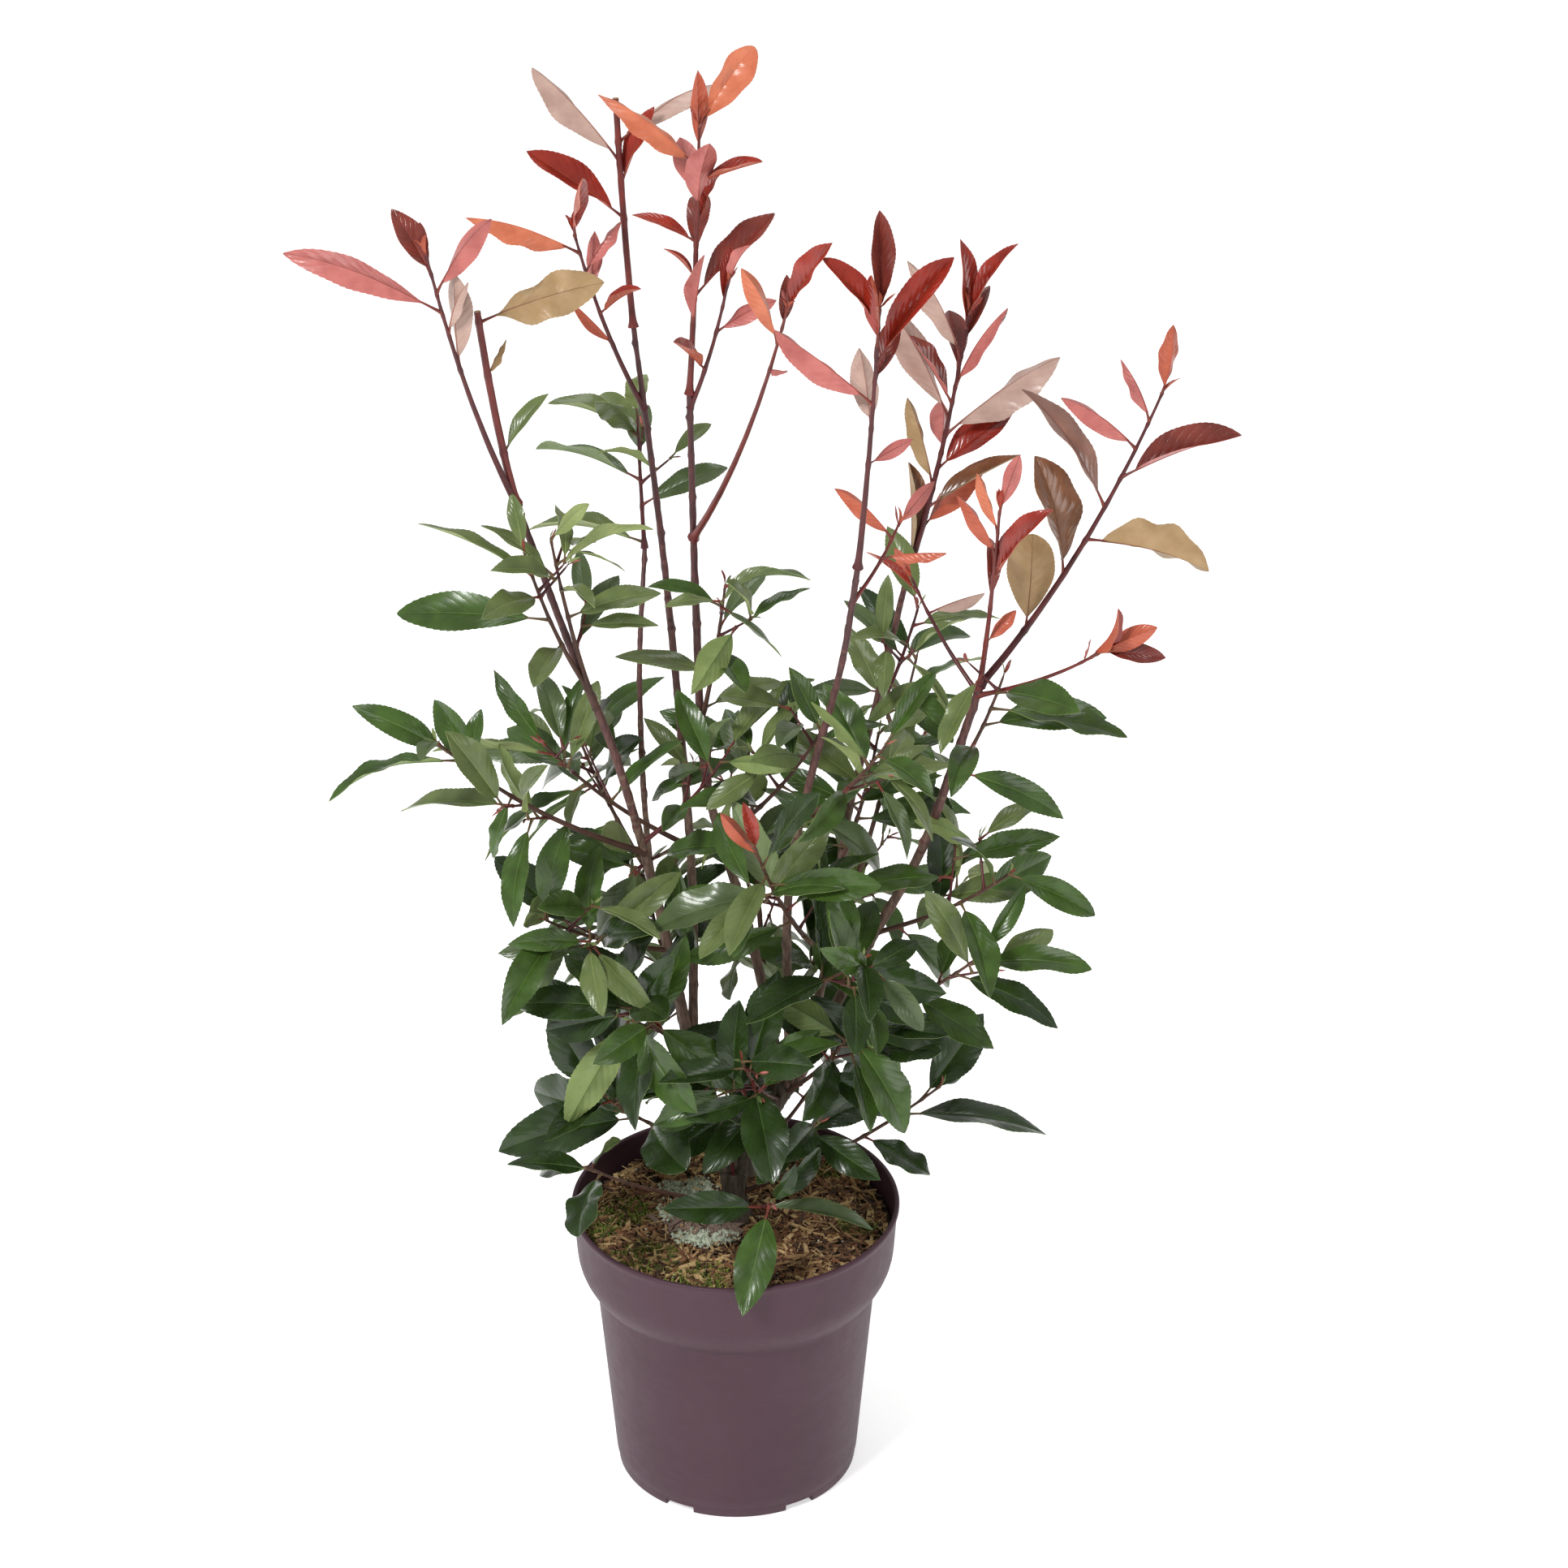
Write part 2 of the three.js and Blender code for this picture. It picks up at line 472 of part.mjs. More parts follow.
// The stem of one shoot: it leaves its limb outwards, then turns up.
function startShoot([name, limb, height, tip]) {
  const root = pointAtHeight(limbs.get(limb).curve, height);
  const rise = new THREE.Vector3(...tip).sub(root);
  const bend = root.clone().add(rise.clone().multiply(STEM_BEND));
  const stem = new THREE.QuadraticBezierCurve3(root, bend, root.clone().add(rise));
  const cut = CUT_BACK[name];
  const thick = cut?.root ?? TWIG_ROOT_RADIUS + TWIG_GAIN * rise.length();
  const thin = cut?.tip ?? TWIG_TIP_RADIUS;
  const sides = cut ? LIMB_SIDES : TWIG_SIDES;
  const wood = trimmed(limbSolid(stem, thick, thin, sides, STEM_STEPS));
  place(name, limbSolid(stem, thick, thin, sides, STEM_STEPS, 0, GAP));
  return { stem, wood };
}

// Grows leaves on one twig. A leaf that would touch wood or another leaf is turned, then skipped.
function growLeaves(name, curve, entries, bare, kind, size, random, blades) {
  const others = placed.filter((piece) => piece.owner !== name);
  const grown = [];
  entries.forEach((entry, i) => {
    const share = entries.length > 1 ? i / (entries.length - 1) : 1;
    const at = THREE.MathUtils.lerp(bare, CUT_BACK[name]?.last ?? LAST_LEAF, share ** CROWDING);
    const poseAt = leafPose(curve, at, share, entry, kind, size, random);
    for (const turn of TURNS) {
      const pose = poseAt(turn);
      const blade = leafSolid(pose, BLADE_STATIONS);
      const free = !touches(leafSolid(pose, LEAF_STATIONS, GAP), others) && !touches(blade, blades);
      if (!free) continue;
      blades.push({ clear: blade, box: boxOf(blade) });
      grown.push(leafSolid(pose));
      break;
    }
  });
  return grown;
}

// One shoot: its stem, side twigs and leaves, joined into one solid clear of all others.
function growShoot([name, , , , kindName, size, bare, twigs, entries], { stem, wood }, seed) {
  const random = seeded(seed);
  const kind = KINDS[kindName];
  const blades = [];
  const pieces = [wood, ...growLeaves(name, stem, entries, bare, kind, size, random, blades)];
  for (let i = 0; i < twigs; i += 1) {
    const at = THREE.MathUtils.lerp(...TWIG_SPAN, i / Math.max(1, twigs - 1));
    const compass = TWIG_FIRST + seed * TWIG_OFFSET + i * TWIG_STRIDE + random() * TWIG_FIRST;
    const reach = THREE.MathUtils.lerp(...TWIG_REACH, random());
    const out = heading(compass).multiplyScalar(TWIG_SPLAY[0]);
    out.addScaledVector(stem.getTangent(at), TWIG_SPLAY[1]).normalize();
    const start = stem.getPoint(at);
    const twig = new THREE.LineCurve3(start, start.clone().addScaledVector(out, reach));
    const solid = limbSolid(twig, TWIG_ROOT_RADIUS, TWIG_TIP_RADIUS, TWIG_SIDES, TWIG_STEPS);
    const clear = limbSolid(twig, TWIG_ROOT_RADIUS, TWIG_TIP_RADIUS, TWIG_SIDES, TWIG_STEPS, 0, GAP);
    if (touches(clear, placed.filter((piece) => piece.owner !== name))) continue;
    const headings = spiral(compass + TWIG_LEAF_TURN, TWIG_LEAVES);
    const leafSize = size * TWIG_LEAF_SIZE;
    pieces.push(solid, ...growLeaves(name, twig, headings, TWIG_BARE, kind, leafSize, random, blades));
  }
  const joined = wholeOf(wasm.Manifold.union(pieces));
  place(name, joined);
  return meshOf(name, joined, kind.color, LEAF_ROUGHNESS);
}

// ---- Assembly ----

const shrub = new THREE.Group();
const pot = makePot();
const soil = makeSoil();
shrub.add(meshOf("pot", pot, POT_COLOR, POT_ROUGHNESS));
shrub.add(meshOf("soil", soil, SOIL_COLOR, 1));
place("pot", pot);
place("soil", soil);

addLimb("trunk", curveThrough(TRUNK.points), TRUNK.root, TRUNK.tip, TRUNK.flare);
for (const [name, points, root, tip] of LIMBS) {
  addLimb(name, curveThrough(points), root, tip);
}
for (const [name, limb] of limbs) {
  const color = name.includes("stem") ? STEM_COLOR : BARK_COLOR;
  shrub.add(meshOf(name, limb.solid, color, BARK_ROUGHNESS));
}
const started = SHOOTS.map(startShoot);
SHOOTS.forEach((shoot, i) => shrub.add(growShoot(shoot, started[i], i + 1)));

export default shrub;
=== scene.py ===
# %% [markdown]
# # A young photinia in its nursery pot
#
# Photinia is an evergreen shrub whose new shoots open coral red, turn maroon and bronze, and end as
# deep green, leathery leaves. This plant stands in a round moulded pot, with an open crown of
# upright stems. The solids of the CAD model give every stem and mass of foliage its place. This
# lesson grows the same shoots by the same rule, with real leaf shapes, and replaces the plain
# solids by them.

# %% Load the shared frame
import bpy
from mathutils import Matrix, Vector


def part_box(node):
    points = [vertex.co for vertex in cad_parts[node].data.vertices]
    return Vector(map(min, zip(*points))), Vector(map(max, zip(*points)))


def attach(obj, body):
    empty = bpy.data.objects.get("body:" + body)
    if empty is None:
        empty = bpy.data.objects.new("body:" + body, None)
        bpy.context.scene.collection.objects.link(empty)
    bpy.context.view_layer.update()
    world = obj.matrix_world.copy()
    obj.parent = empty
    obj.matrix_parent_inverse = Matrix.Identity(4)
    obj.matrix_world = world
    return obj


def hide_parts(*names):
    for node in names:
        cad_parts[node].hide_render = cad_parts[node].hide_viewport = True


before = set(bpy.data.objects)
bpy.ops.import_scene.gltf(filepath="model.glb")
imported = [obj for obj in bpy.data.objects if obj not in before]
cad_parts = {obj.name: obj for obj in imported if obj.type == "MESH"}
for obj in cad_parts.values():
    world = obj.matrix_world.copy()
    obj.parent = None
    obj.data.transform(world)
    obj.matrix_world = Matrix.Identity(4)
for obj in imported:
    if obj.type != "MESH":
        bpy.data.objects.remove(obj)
print("nodes in the frame:", len(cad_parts))

# %% Tools of the lesson
import math

import bmesh
import bpy
import numpy as np
from mathutils import Quaternion, Vector, noise
from mathutils.bvhtree import BVHTree

MM = 0.001
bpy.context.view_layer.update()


# %% Mix two values
def lerp(low, high, share):
    """The value that lies this share of the way from low to high."""
    return low + (high - low) * share


print("halfway from 8 to 12 lies", lerp(8, 12, 0.5))

# %% [markdown]
# ## The camera
#
# A tall plant is shown from some way off, a little above its top and tipped down, so that soil and
# crown both show. A long lens keeps the pot's sides nearly straight. The camera comes first,
# because the shapes are judged through it.

# %% Camera
CAMERA_PLACE = (0.0336, -2.3, 1.671)
CAMERA_TIP = 26.4
CAMERA_LENS = 89.85
CAMERA_FILM = 36

camera_data = bpy.data.cameras.new("camera")
camera_data.lens = CAMERA_LENS
camera_data.sensor_width = CAMERA_FILM
camera = bpy.data.objects.new("camera", camera_data)
camera.location = CAMERA_PLACE
camera.rotation_euler = (math.radians(90 - CAMERA_TIP), 0, 0)
bpy.context.collection.objects.link(camera)
bpy.context.scene.camera = camera
print("camera tipped down by", CAMERA_TIP, "degrees")

# %% [markdown]
# ## Repeatable chance
#
# Real shoots differ, so a plant needs chance, but a lesson should give the same plant each time.
# This small generator is the CAD model's own: with the same seed it deals the same numbers, and
# each leaf grows where its solid stands. A library generator wouldn't repeat them.

# %% Seeded chance
CHANCE_RANGE = 2**32
CHANCE_FACTOR = 1664525
CHANCE_STEP = 1013904223
SEED_FACTOR = 7919
SEED_STEP = 104729


class Chance:
    """Numbers from 0 to 1 that repeat for the same seed."""

    def __init__(self, seed):
        self.state = (seed * SEED_FACTOR + SEED_STEP) % CHANCE_RANGE
        self.next()
        self.next()

    def next(self):
        self.state = (self.state * CHANCE_FACTOR + CHANCE_STEP) % CHANCE_RANGE
        return self.state / CHANCE_RANGE

    def between(self, low, high):
        return lerp(low, high, self.next())

    def swing(self, width):
        """A number at most half this width below or above zero."""
        return (self.next() - 0.5) * width

    def angle(self):
        return self.next() * math.tau

    def compass(self):
        return self.next() * 360

    def pick(self, choices):
        return choices[int(self.next() * len(choices))]


print("first number", round(Chance(1).next(), 3))

# %% [markdown]
# ## Curves
#
# Limbs and shoots are drawn as curves first and given their thickness later. A Blender curve object
# could bend them too, but the rule of growth needs the place and the direction at any share of the
# length. So a curve here is a function from 0 to 1, with a table of the length passed at each step.

# %% A path and its length
LENGTH_STEPS = 200
SMALL_STEP = 0.0001
LENGTH_GRID = np.linspace(0, 1, LENGTH_STEPS + 1)


class Path:
    """A smooth curve, with its place and direction at a parameter from 0 to 1."""

    def __init__(self, at):
        self.at = at
        points = [at(i / LENGTH_STEPS) for i in range(LENGTH_STEPS + 1)]
        steps = [0] + [(b - a).length for a, b in zip(points, points[1:])]
        self.lengths = np.cumsum(steps)
        self.length = float(self.lengths[-1])

    def tangent(self, t):
        after = self.at(min(1, t + SMALL_STEP))
        return (after - self.at(max(0, t - SMALL_STEP))).normalized()

    def even(self, share):
        """The parameter where this share of the length has passed."""
        return float(np.interp(share * self.length, self.lengths, LENGTH_GRID))


def straight_path(root, tip):
    return Path(lambda t: root.lerp(tip, t))


def bent_path(root, bend, tip):
    return Path(lambda t: root * (1 - t) ** 2 + bend * (2 * t * (1 - t)) + tip * t**2)


corner = [Vector((0, 0, 0)), Vector((0, 0, 30)), Vector((40, 0, 30))]
print("round the corner", round(bent_path(*corner).length), "mm")

# %% [markdown]
# ## Limbs through known points
#
# A stem bends smoothly through a few known points. A Catmull-Rom curve passes through every one of
# them, where a Bezier curve only comes near its middle points. Beyond both ends a neighbour is
# mirrored.

# %% A curve through points
def smooth_path(points):
    points = [Vector(p) for p in points]
    first = points[0] * 2 - points[1]
    last = points[-1] * 2 - points[-2]
    chain = [first] + points + [last]
    spans = len(points) - 1

    def at(t):
        k = min(spans - 1, int(t * spans))
        w = t * spans - k
        p0, p1, p2, p3 = chain[k : k + 4]
        t0 = (p2 - p0) * 0.5
        t1 = (p3 - p1) * 0.5
        square = (p1 * -3 + p2 * 3 - t0 * 2 - t1) * w**2
        cube = (p1 * 2 - p2 * 2 + t0 + t1) * w**3
        return p1 + t0 * w + square + cube

    return Path(at)


print("through the corner", round(smooth_path(corner).length), "mm")

# %% [markdown]
# ## Directions along a path
#
# A tube needs two directions across its path at every ring. Worked out anew each time, they may
# spin. Here each ring turns those of the ring before only as far as the path turns, so nothing
# twists.

# %% Frames along a path
def first_normal(tangent):
    """A direction square to the first one, found across its smallest part."""
    sizes = [abs(v) for v in tangent]
    axis = Vector((0, 0, 0))
    axis[max(i for i in range(3) if sizes[i] == min(sizes))] = 1
    return tangent.cross(tangent.cross(axis).normalized())


def frames_along(path, steps):
    """Even steps along a path: each a place, its direction and two cross directions."""
    shares = [path.even(k / steps) for k in range(steps + 1)]
    tangent = path.tangent(shares[0])
    normal = first_normal(tangent)
    rows = []
    for share in shares:
        ahead = path.tangent(share)
        normal = tangent.rotation_difference(ahead) @ normal
        tangent = ahead
        rows.append((path.at(share), tangent, normal, tangent.cross(normal)))
    return rows


print(len(frames_along(smooth_path(corner), 8)), "frames")

# %% [markdown]
# ## The growth table
#
# The tables that follow repeat the CAD model's, in millimetres and degrees, so that each leaf grows
# where its solid stands. First the kinds of shoot: a leaf's width for its length, its angle to the
# shoot at the foot and at the top, its arch, its turn to the light, and the size of the top leaf.

# %% Kinds of shoot
KINDS = {
    "flush": {"width": 0.36, "low": 62, "top": 20, "arch": 0.1, "light": 0.55, "small": 0.7},
    "bronze": {"width": 0.38, "low": 66, "top": 34, "arch": 0.16, "light": 0.5, "small": 0.8},
    "green": {"width": 0.4, "low": 84, "top": 48, "arch": 0.13, "light": 0.62, "small": 0.85},
}
print("kinds of shoot:", ", ".join(KINDS))

# %% [markdown]
# ## The woody limbs
#
# A cut-back shrub has one short trunk that splits into two knobbly boles, and slim stems that rise
# from them. Each limb has a name, the points that it passes through, starting a little inside its
# parent, and its radius at the root and at the tip.

# %% Trunk, boles and stems
SOIL_TOP = 192
TRUNK_POINTS = [[-1, 4, SOIL_TOP], [-1, 4, 209], [-1, 5, 232]]
TRUNK_ROOT = 11.5
TRUNK_TIP = 10
TRUNK_FLARE = 3.5
LIMBS = [
    ["left_bole", [[-4, 5, 234], [-18, 1, 289], [-31, 0, 340]], 8.5, 7],
    ["right_bole", [[6, 5, 230], [20, 2, 266], [37, 1, 304]], 8, 7],
    ["left_stem",
        [[-31, 0, 338], [-50, -8, 444], [-75, -20, 557], [-104, -28, 645], [-133, -38, 743]], 3.6, 2.0],
    ["back_left_stem",
        [[-28, 2, 338], [-28, 20, 449], [-37, 45, 575], [-48, 65, 690], [-63, 80, 817]], 3.3, 1.7],
    ["centre_stem",
        [[33, 2, 302], [10, 8, 417], [-17, 14, 521], [-23, 20, 631], [-26, 20, 794]], 3.6, 2.0],
    ["front_right_stem",
        [[38, -3, 302], [36, -30, 454], [48, -46, 544], [69, -68, 643], [79, -85, 720]], 3.4, 1.9],
    ["right_stem",
        [[42, 3, 304], [64, 18, 394], [76, 38, 484], [95, 62, 558], [114, 82, 637]], 3.4, 2.0],
    ["far_right_stem",
        [[42, -2, 304], [84, -20, 409], [122, -35, 496], [147, -45, 582], [158, -50, 624]], 3.9, 2.6],
    ["thin_back_stem", [[-34, 6, 336], [-56, 30, 454], [-63, 75, 564], [-60, 125, 644]], 2.3, 1.6],
]
print(len(LIMBS) + 1, "limbs")

# %% [markdown]
# ## The shoots
#
# A shoot is a mass of foliage of its own. Its row gives its name, its limb, the height there, its
# tip, its kind, the length of its leaves, its bare share, the number of its side twigs, and its
# leaves. A leaf is a compass heading, or a heading with a length factor and an angle to the shoot.
# A spiral of headings follows the golden turn, which keeps each leaf out of the shade of the one
# below.

# %% Red and bronze shoots
GOLDEN_TURN = 137.5


def spiral(first, count):
    return [(first + i * GOLDEN_TURN) % 360 for i in range(count)]


SHOOT_FIELDS = ("name", "limb", "height", "tip", "kind", "size", "bare", "twigs", "leaves")
RED_SHOOTS = [
    ["left_top", "left_stem", 743, [-153, -40, 870], "bronze", 72, 0.3, 0,
        [[20, 0.6, 40], [20, 0.35, 30], [5, 1.1, 72]]],
    ["left_flush", "left_stem", 741, [-180, -70, 917], "flush", 72, 0.6, 0,
        [[20, 0.85, 10], [340, 0.55, 24], [180, 1.37, 46], [20, 0.75, 42], [150, 0.62, 16], [90, 0.3, 8]]],
    ["back_left_flush", "back_left_stem", 817, [-72, 90, 965], "flush", 66, 0.52, 0,
        [[180, 1.12, 47], [10, 0.8, 23], [175, 1.2, 33], [5, 1.45, 62]]],
    ["back_left_side", "back_left_stem", 761, [-99, 68, 884], "flush", 55, 0.4, 0,
        [[200, 0.75, 14], [330, 0.7, 60], [60, 0.7, 30], [10, 0.7, 46], [190, 1.35, 45], [300, 0.95, 26]]],
    ["centre_flush", "centre_stem", 794, [-18, 20, 970], "flush", 62, 0.28, 0,
        [[275, 0.95, 16], [5, 1.2, 48], [190, 0.42, 38], [90, 0.9, 50], [180, 0.68, 60], [60, 0.6, 30],
            [275, 0.9, 18], [110, 0.8, 50], [335, 0.75, 60], [170, 1.2, 48], [110, 0.8, 7], [60, 0.7, 9],
            [15, 0.95, 28]]],
    ["centre_side", "centre_stem", 784, [-1, 10, 872], "flush", 42, 0.35, 0,
        [[190, 1, 50], [20, 1, 45], [100, 0.9, 22], [300, 0.8, 12]]],
    ["slender_flush", "centre_stem", 694, [36, -90, 891], "flush", 52, 0.78, 0,
        [[290, 0.5, 40], [165, 1, 26], [110, 0.6, 15], [10, 1.05, 12]]],
    ["front_right_flush", "front_right_stem", 720, [90, -110, 898], "flush", 62, 0.45, 0,
        [[20, 0.5, 60], [100, 0.9, 50], [175, 1.2, 50], [60, 0.7, 30], [15, 1.25, 28], [270, 0.85, 6],
            [170, 0.85, 34], [100, 0.95, 8]]],
    ["front_right_twig", "front_right_stem", 694, [104, -70, 742], "flush", 52, 0.6, 0,
        [[330, 0.8, 50], [190, 0.9, 60], [40, 0.7, 20]]],
    ["right_flush", "right_stem", 637, [154, 110, 818], "flush", 64, 0.08, 0,
        [[160, 1.05, 14], [25, 1, 26], [350, 1.1, 40], [165, 0.95, 24], [10, 0.95, 36], [90, 1, 60],
            [355, 1.4, 36], [165, 1.25, 34], [190, 0.85, 38], [320, 1, 14], [100, 0.9, 50],
            [165, 1.1, 30], [60, 0.7, 30], [150, 0.9, 10], [20, 0.85, 20]]],
    ["far_right_upright", "far_right_stem", 622, [165, -92, 762], "flush", 48, 0.3, 0,
        [[20, 0.6, 34], [90, 0.9, 45], [350, 1.3, 20], [170, 0.95, 22], [150, 0.85, 18], [30, 0.8, 14]]],
    ["far_right_flush", "far_right_stem", 624, [267, -40, 820], "bronze", 70, 0.22, 0,
        [[170, 0.85, 28], [180, 1.1, 34], [0, 1.15, 66], [175, 1.25, 50], [350, 1.1, 34], [180, 0.78, 66],
            [180, 0.6, 38], [150, 0.6, 6]]],
    ["far_right_low", "far_right_stem", 616, [231, -90, 666], "flush", 42, 0.82, 0,
        [[180, 0.5, 30], [180, 1, 14], [90, 1, 5], [0, 0.95, 40]]],
    ["right_inner", "far_right_stem", 618, [115, -5, 679], "flush", 42, 0.7, 0,
        [[0, 0.9, 92], [180, 1, 20], [100, 0.7, 30]]],
]
print(len(RED_SHOOTS), "red or bronze shoots")

# %% [markdown]
# ## Green shoots of the crown
#
# Below the spring growth stand last year's leaves, deep green and leathery. The shoots at the left
# and the right stand apart and give the crown its outline, so each of their leaves is given one by
# one. The inner ones overlap, and a spiral of headings is enough for them.

# %% Green shoots of the crown
CROWN_SHOOTS = [
    ["left_bough", "left_stem", 484, [-184, -100, 609], "green", 82, 0.6, 0,
        [[215, 0.5, 100], [100, 0.8, 60], [40, 0.45, 50], [200, 1, 34], [170, 0.75, 12], [290, 0.5, 40]]],
    ["left_inner_bough", "back_left_stem", 470, [-123, -5, 561], "green", 70, 0.5, 1,
        [[300, 0.9, 80], [200, 1.1, 60], [120, 0.9, 50], [30, 0.8, 50], [190, 1.1, 34], [100, 0.8, 20]]],
    ["back_left_bough", "thin_back_stem", 444, [-108, 95, 524], "green", 70, 0.4, 1, spiral(160, 6)],
    ["left_outer_leaves", "left_stem", 610, [-128, -60, 721], "green", 72, 0.08, 0,
        [[190, 1.2, 50], [260, 0.8, 60], [175, 1.3, 68], [250, 0.9, 50], [180, 1.05, 36], [90, 0.5, 30]]],
    ["left_inner_leaves", "left_stem", 594, [-112, -46, 724], "green", 60, 0.14, 0,
        [[350, 0.9, 74], [60, 1, 70], [10, 0.95, 80], [300, 0.8, 60], [15, 1, 66], [340, 0.6, 40]]],
    ["left_cross", "left_stem", 492, [-2, -12, 560], "green", 58, 0.45, 0, spiral(250, 5)],
    ["right_cross", "centre_stem", 482, [58, -32, 584], "green", 62, 0.35, 0, spiral(200, 6)],
    ["red_heart", "right_stem", 389, [15, -105, 537], "green", 72, 0.3, 0,
        [[310, 1, 78], [200, 1, 72], [20, 1, 60], [110, 1, 62], [185, 1.1, 78], [340, 1, 72], [250, 0.9, 64],
            [20, 1, 34], [150, 0.55, 16], [60, 0.5, 10]]],
    ["front_left_leaves", "left_bole", 330, [-66, -74, 408], "green", 80, 0.15, 1, spiral(205, 7)],
    ["front_centre_leaves", "right_bole", 288, [6, -96, 376], "green", 76, 0.2, 1,
        [[230, 0.9, 52], 7.5, 145, 282.5, 60, 197.5, 335]],
    ["front_right_leaves", "front_right_stem", 388, [84, -104, 456], "green", 72, 0.15, 1, spiral(300, 6)],
    ["centre_right_leaves", "front_right_stem", 524, [98, -90, 602], "green", 68, 0.1, 0, spiral(330, 7)],
    ["centre_left_leaves", "back_left_stem", 474, [-64, -14, 474], "green", 72, 0.25, 0, spiral(215, 5)],
    ["right_low_leaves", "far_right_stem", 430, [180, -62, 496], "green", 74, 0.15, 1, spiral(0, 6)],
    ["right_high_leaves", "far_right_stem", 544, [172, -64, 638], "green", 76, 0.2, 0,
        [[0, 1, 84], [250, 0.9, 70], [10, 1, 62], [350, 1.1, 70], [355, 1.1, 52], [160, 0.9, 10]]],
    ["right_inner_leaves", "right_stem", 454, [96, 16, 560], "green", 68, 0.15, 0, spiral(190, 7)],
    ["right_stem_leaves", "right_stem", 544, [122, 56, 632], "green", 66, 0.1, 0, spiral(170, 6)],
    ["centre_high_leaves", "centre_stem", 564, [-4, 0, 672], "green", 62, 0.15, 0, spiral(10, 6)],
    ["left_low_leaves", "left_stem", 406, [-122, -52, 456], "green", 78, 0.3, 1, spiral(190, 5)],
]
print(len(CROWN_SHOOTS), "green shoots in the crown")

# %% [markdown]
# ## Low shoots
#
# Short shoots spring from the trunk and the boles and spread over the pot's rim like a skirt. One of
# them lies almost on the soil, and its longest leaf hangs down over the rim.

# %% Low shoots over the soil
SKIRT_SHOOTS = [
    ["right_skirt", "far_right_stem", 349, [163, -70, 441], "green", 72, 0.5, 0,
        [[200, 0.7, 60], [100, 0.7, 60], [350, 1, 60], [0, 1.05, 34], [120, 0.7, 30]]],
    ["low_right_skirt", "trunk", 209, [141, 0, 300], "green", 70, 0.58, 0,
        [[325, 0.72, 52], [0, 1.36, 34], [110, 1, 25], [40, 0.65, 67]]],
    ["right_rosette", "right_bole", 292, [82, -66, 388], "green", 66, 0.45, 0,
        [340, 117.5, 255, 32.5, 170, [320, 1.32, 100], [75, 1.05, 88], [340, 0.9, 55]]],
    ["left_skirt", "left_bole", 250, [-84, -46, 316], "green", 72, 0.6, 0,
        [[295, 0.8, 70], [180, 1.27, 49], [150, 1.1, 70], [85, 1.15, 16], [45, 1.1, 46], [0, 0.7, 94],
            [235, 0.8, 43]]],
    ["low_left_skirt", "trunk", 204, [-99, -66, 276], "green", 56, 0.88, 0,
        [[260, 0.95, 52], [165, 1, 25], [80, 0.7, 121], [120, 0.9, 88]]],
    ["thin_front_shoot", "trunk", 216, [-4, -26, 304], "green", 62, 0.8, 0, spiral(60, 6)],
    ["front_rosette", "right_bole", 250, [56, -50, 300], "green", 66, 0.35, 0,
        [130, [235, 0.8, 58], 45, 182.5, 320, 97.5, 235]],
    ["soil_rosette", "trunk", 204, [26, -76, 254], "green", 68, 0.5, 0,
        [[10, 1.1, 61], [190, 1, 73], [50, 0.75, 70], [260, 1, 77], [70, 0.5, 26]]],
]
print(len(SKIRT_SHOOTS), "low shoots")

# %% [markdown]
# ## Shoots at the back
#
# A shrub is round, so the back is as full as the front. These shoots fill it with the same kinds of
# leaf, and one bare, thin stem carries a high tuft behind the others.

# %% Shoots at the back
BACK_SHOOTS = [
    ["thin_back_top", "thin_back_stem", 644, [-64, 142, 734], "green", 66, 0.05, 0,
        [[180, 1.1, 66], [350, 0.9, 60], [170, 1.05, 60], [90, 0.9, 50], [185, 0.9, 52], [270, 0.7, 30]]],
    ["back_right_shoot", "right_bole", 296, [126, 160, 552], "green", 72, 0.4, 2, spiral(70, 7)],
    ["back_shoot", "right_bole", 284, [8, 146, 504], "green", 76, 0.35, 2, spiral(80, 8)],
    ["back_left_leaves", "left_bole", 322, [-64, 104, 408], "green", 80, 0.25, 1, spiral(120, 7)],
    ["back_right_leaves", "right_bole", 274, [66, 108, 396], "green", 80, 0.25, 1, spiral(60, 7)],
    ["back_left_skirt", "trunk", 220, [-72, 78, 296], "green", 72, 0.4, 0, spiral(130, 7)],
    ["back_right_skirt", "trunk", 220, [78, 80, 294], "green", 72, 0.4, 0, spiral(40, 7)],
]
print(len(BACK_SHOOTS), "shoots at the back")

# %% All shoots
SHOOTS = RED_SHOOTS + CROWN_SHOOTS + SKIRT_SHOOTS + BACK_SHOOTS
print(len(SHOOTS), "shoots in all")

# %% [markdown]
# ## The limbs' curves
#
# These curves carry everything else. A shoot springs from its limb at a given height, leaves it
# outwards and then turns up, as a branch does that looks for light. The longer the shoot, the
# thicker its foot. Two stems were cut back by the grower, so their top shoots are thicker and end
# in a flat cut.

# %% Curves of the limbs
limb_paths = {"trunk": smooth_path(TRUNK_POINTS)}
for name, points, root, tip in LIMBS:
    limb_paths[name] = smooth_path(points)

HEIGHT_STEPS = 200
TWIG_TIP_RADIUS = 0.8
TWIG_ROOT_RADIUS = 1.1
TWIG_GAIN = 0.006
STEM_BEND = (0.6, 0.6, 0.42)
LAST_LEAF = 0.985
CUT_BACK = {"left_top": (2.6, 2.2, 0.95), "back_left_flush": (2.2, 2, 0.83)}


def point_at_height(path, height):
    for i in range(HEIGHT_STEPS + 1):
        point = path.at(i / HEIGHT_STEPS)
        if point.z >= height:
            return point
    return path.at(1)


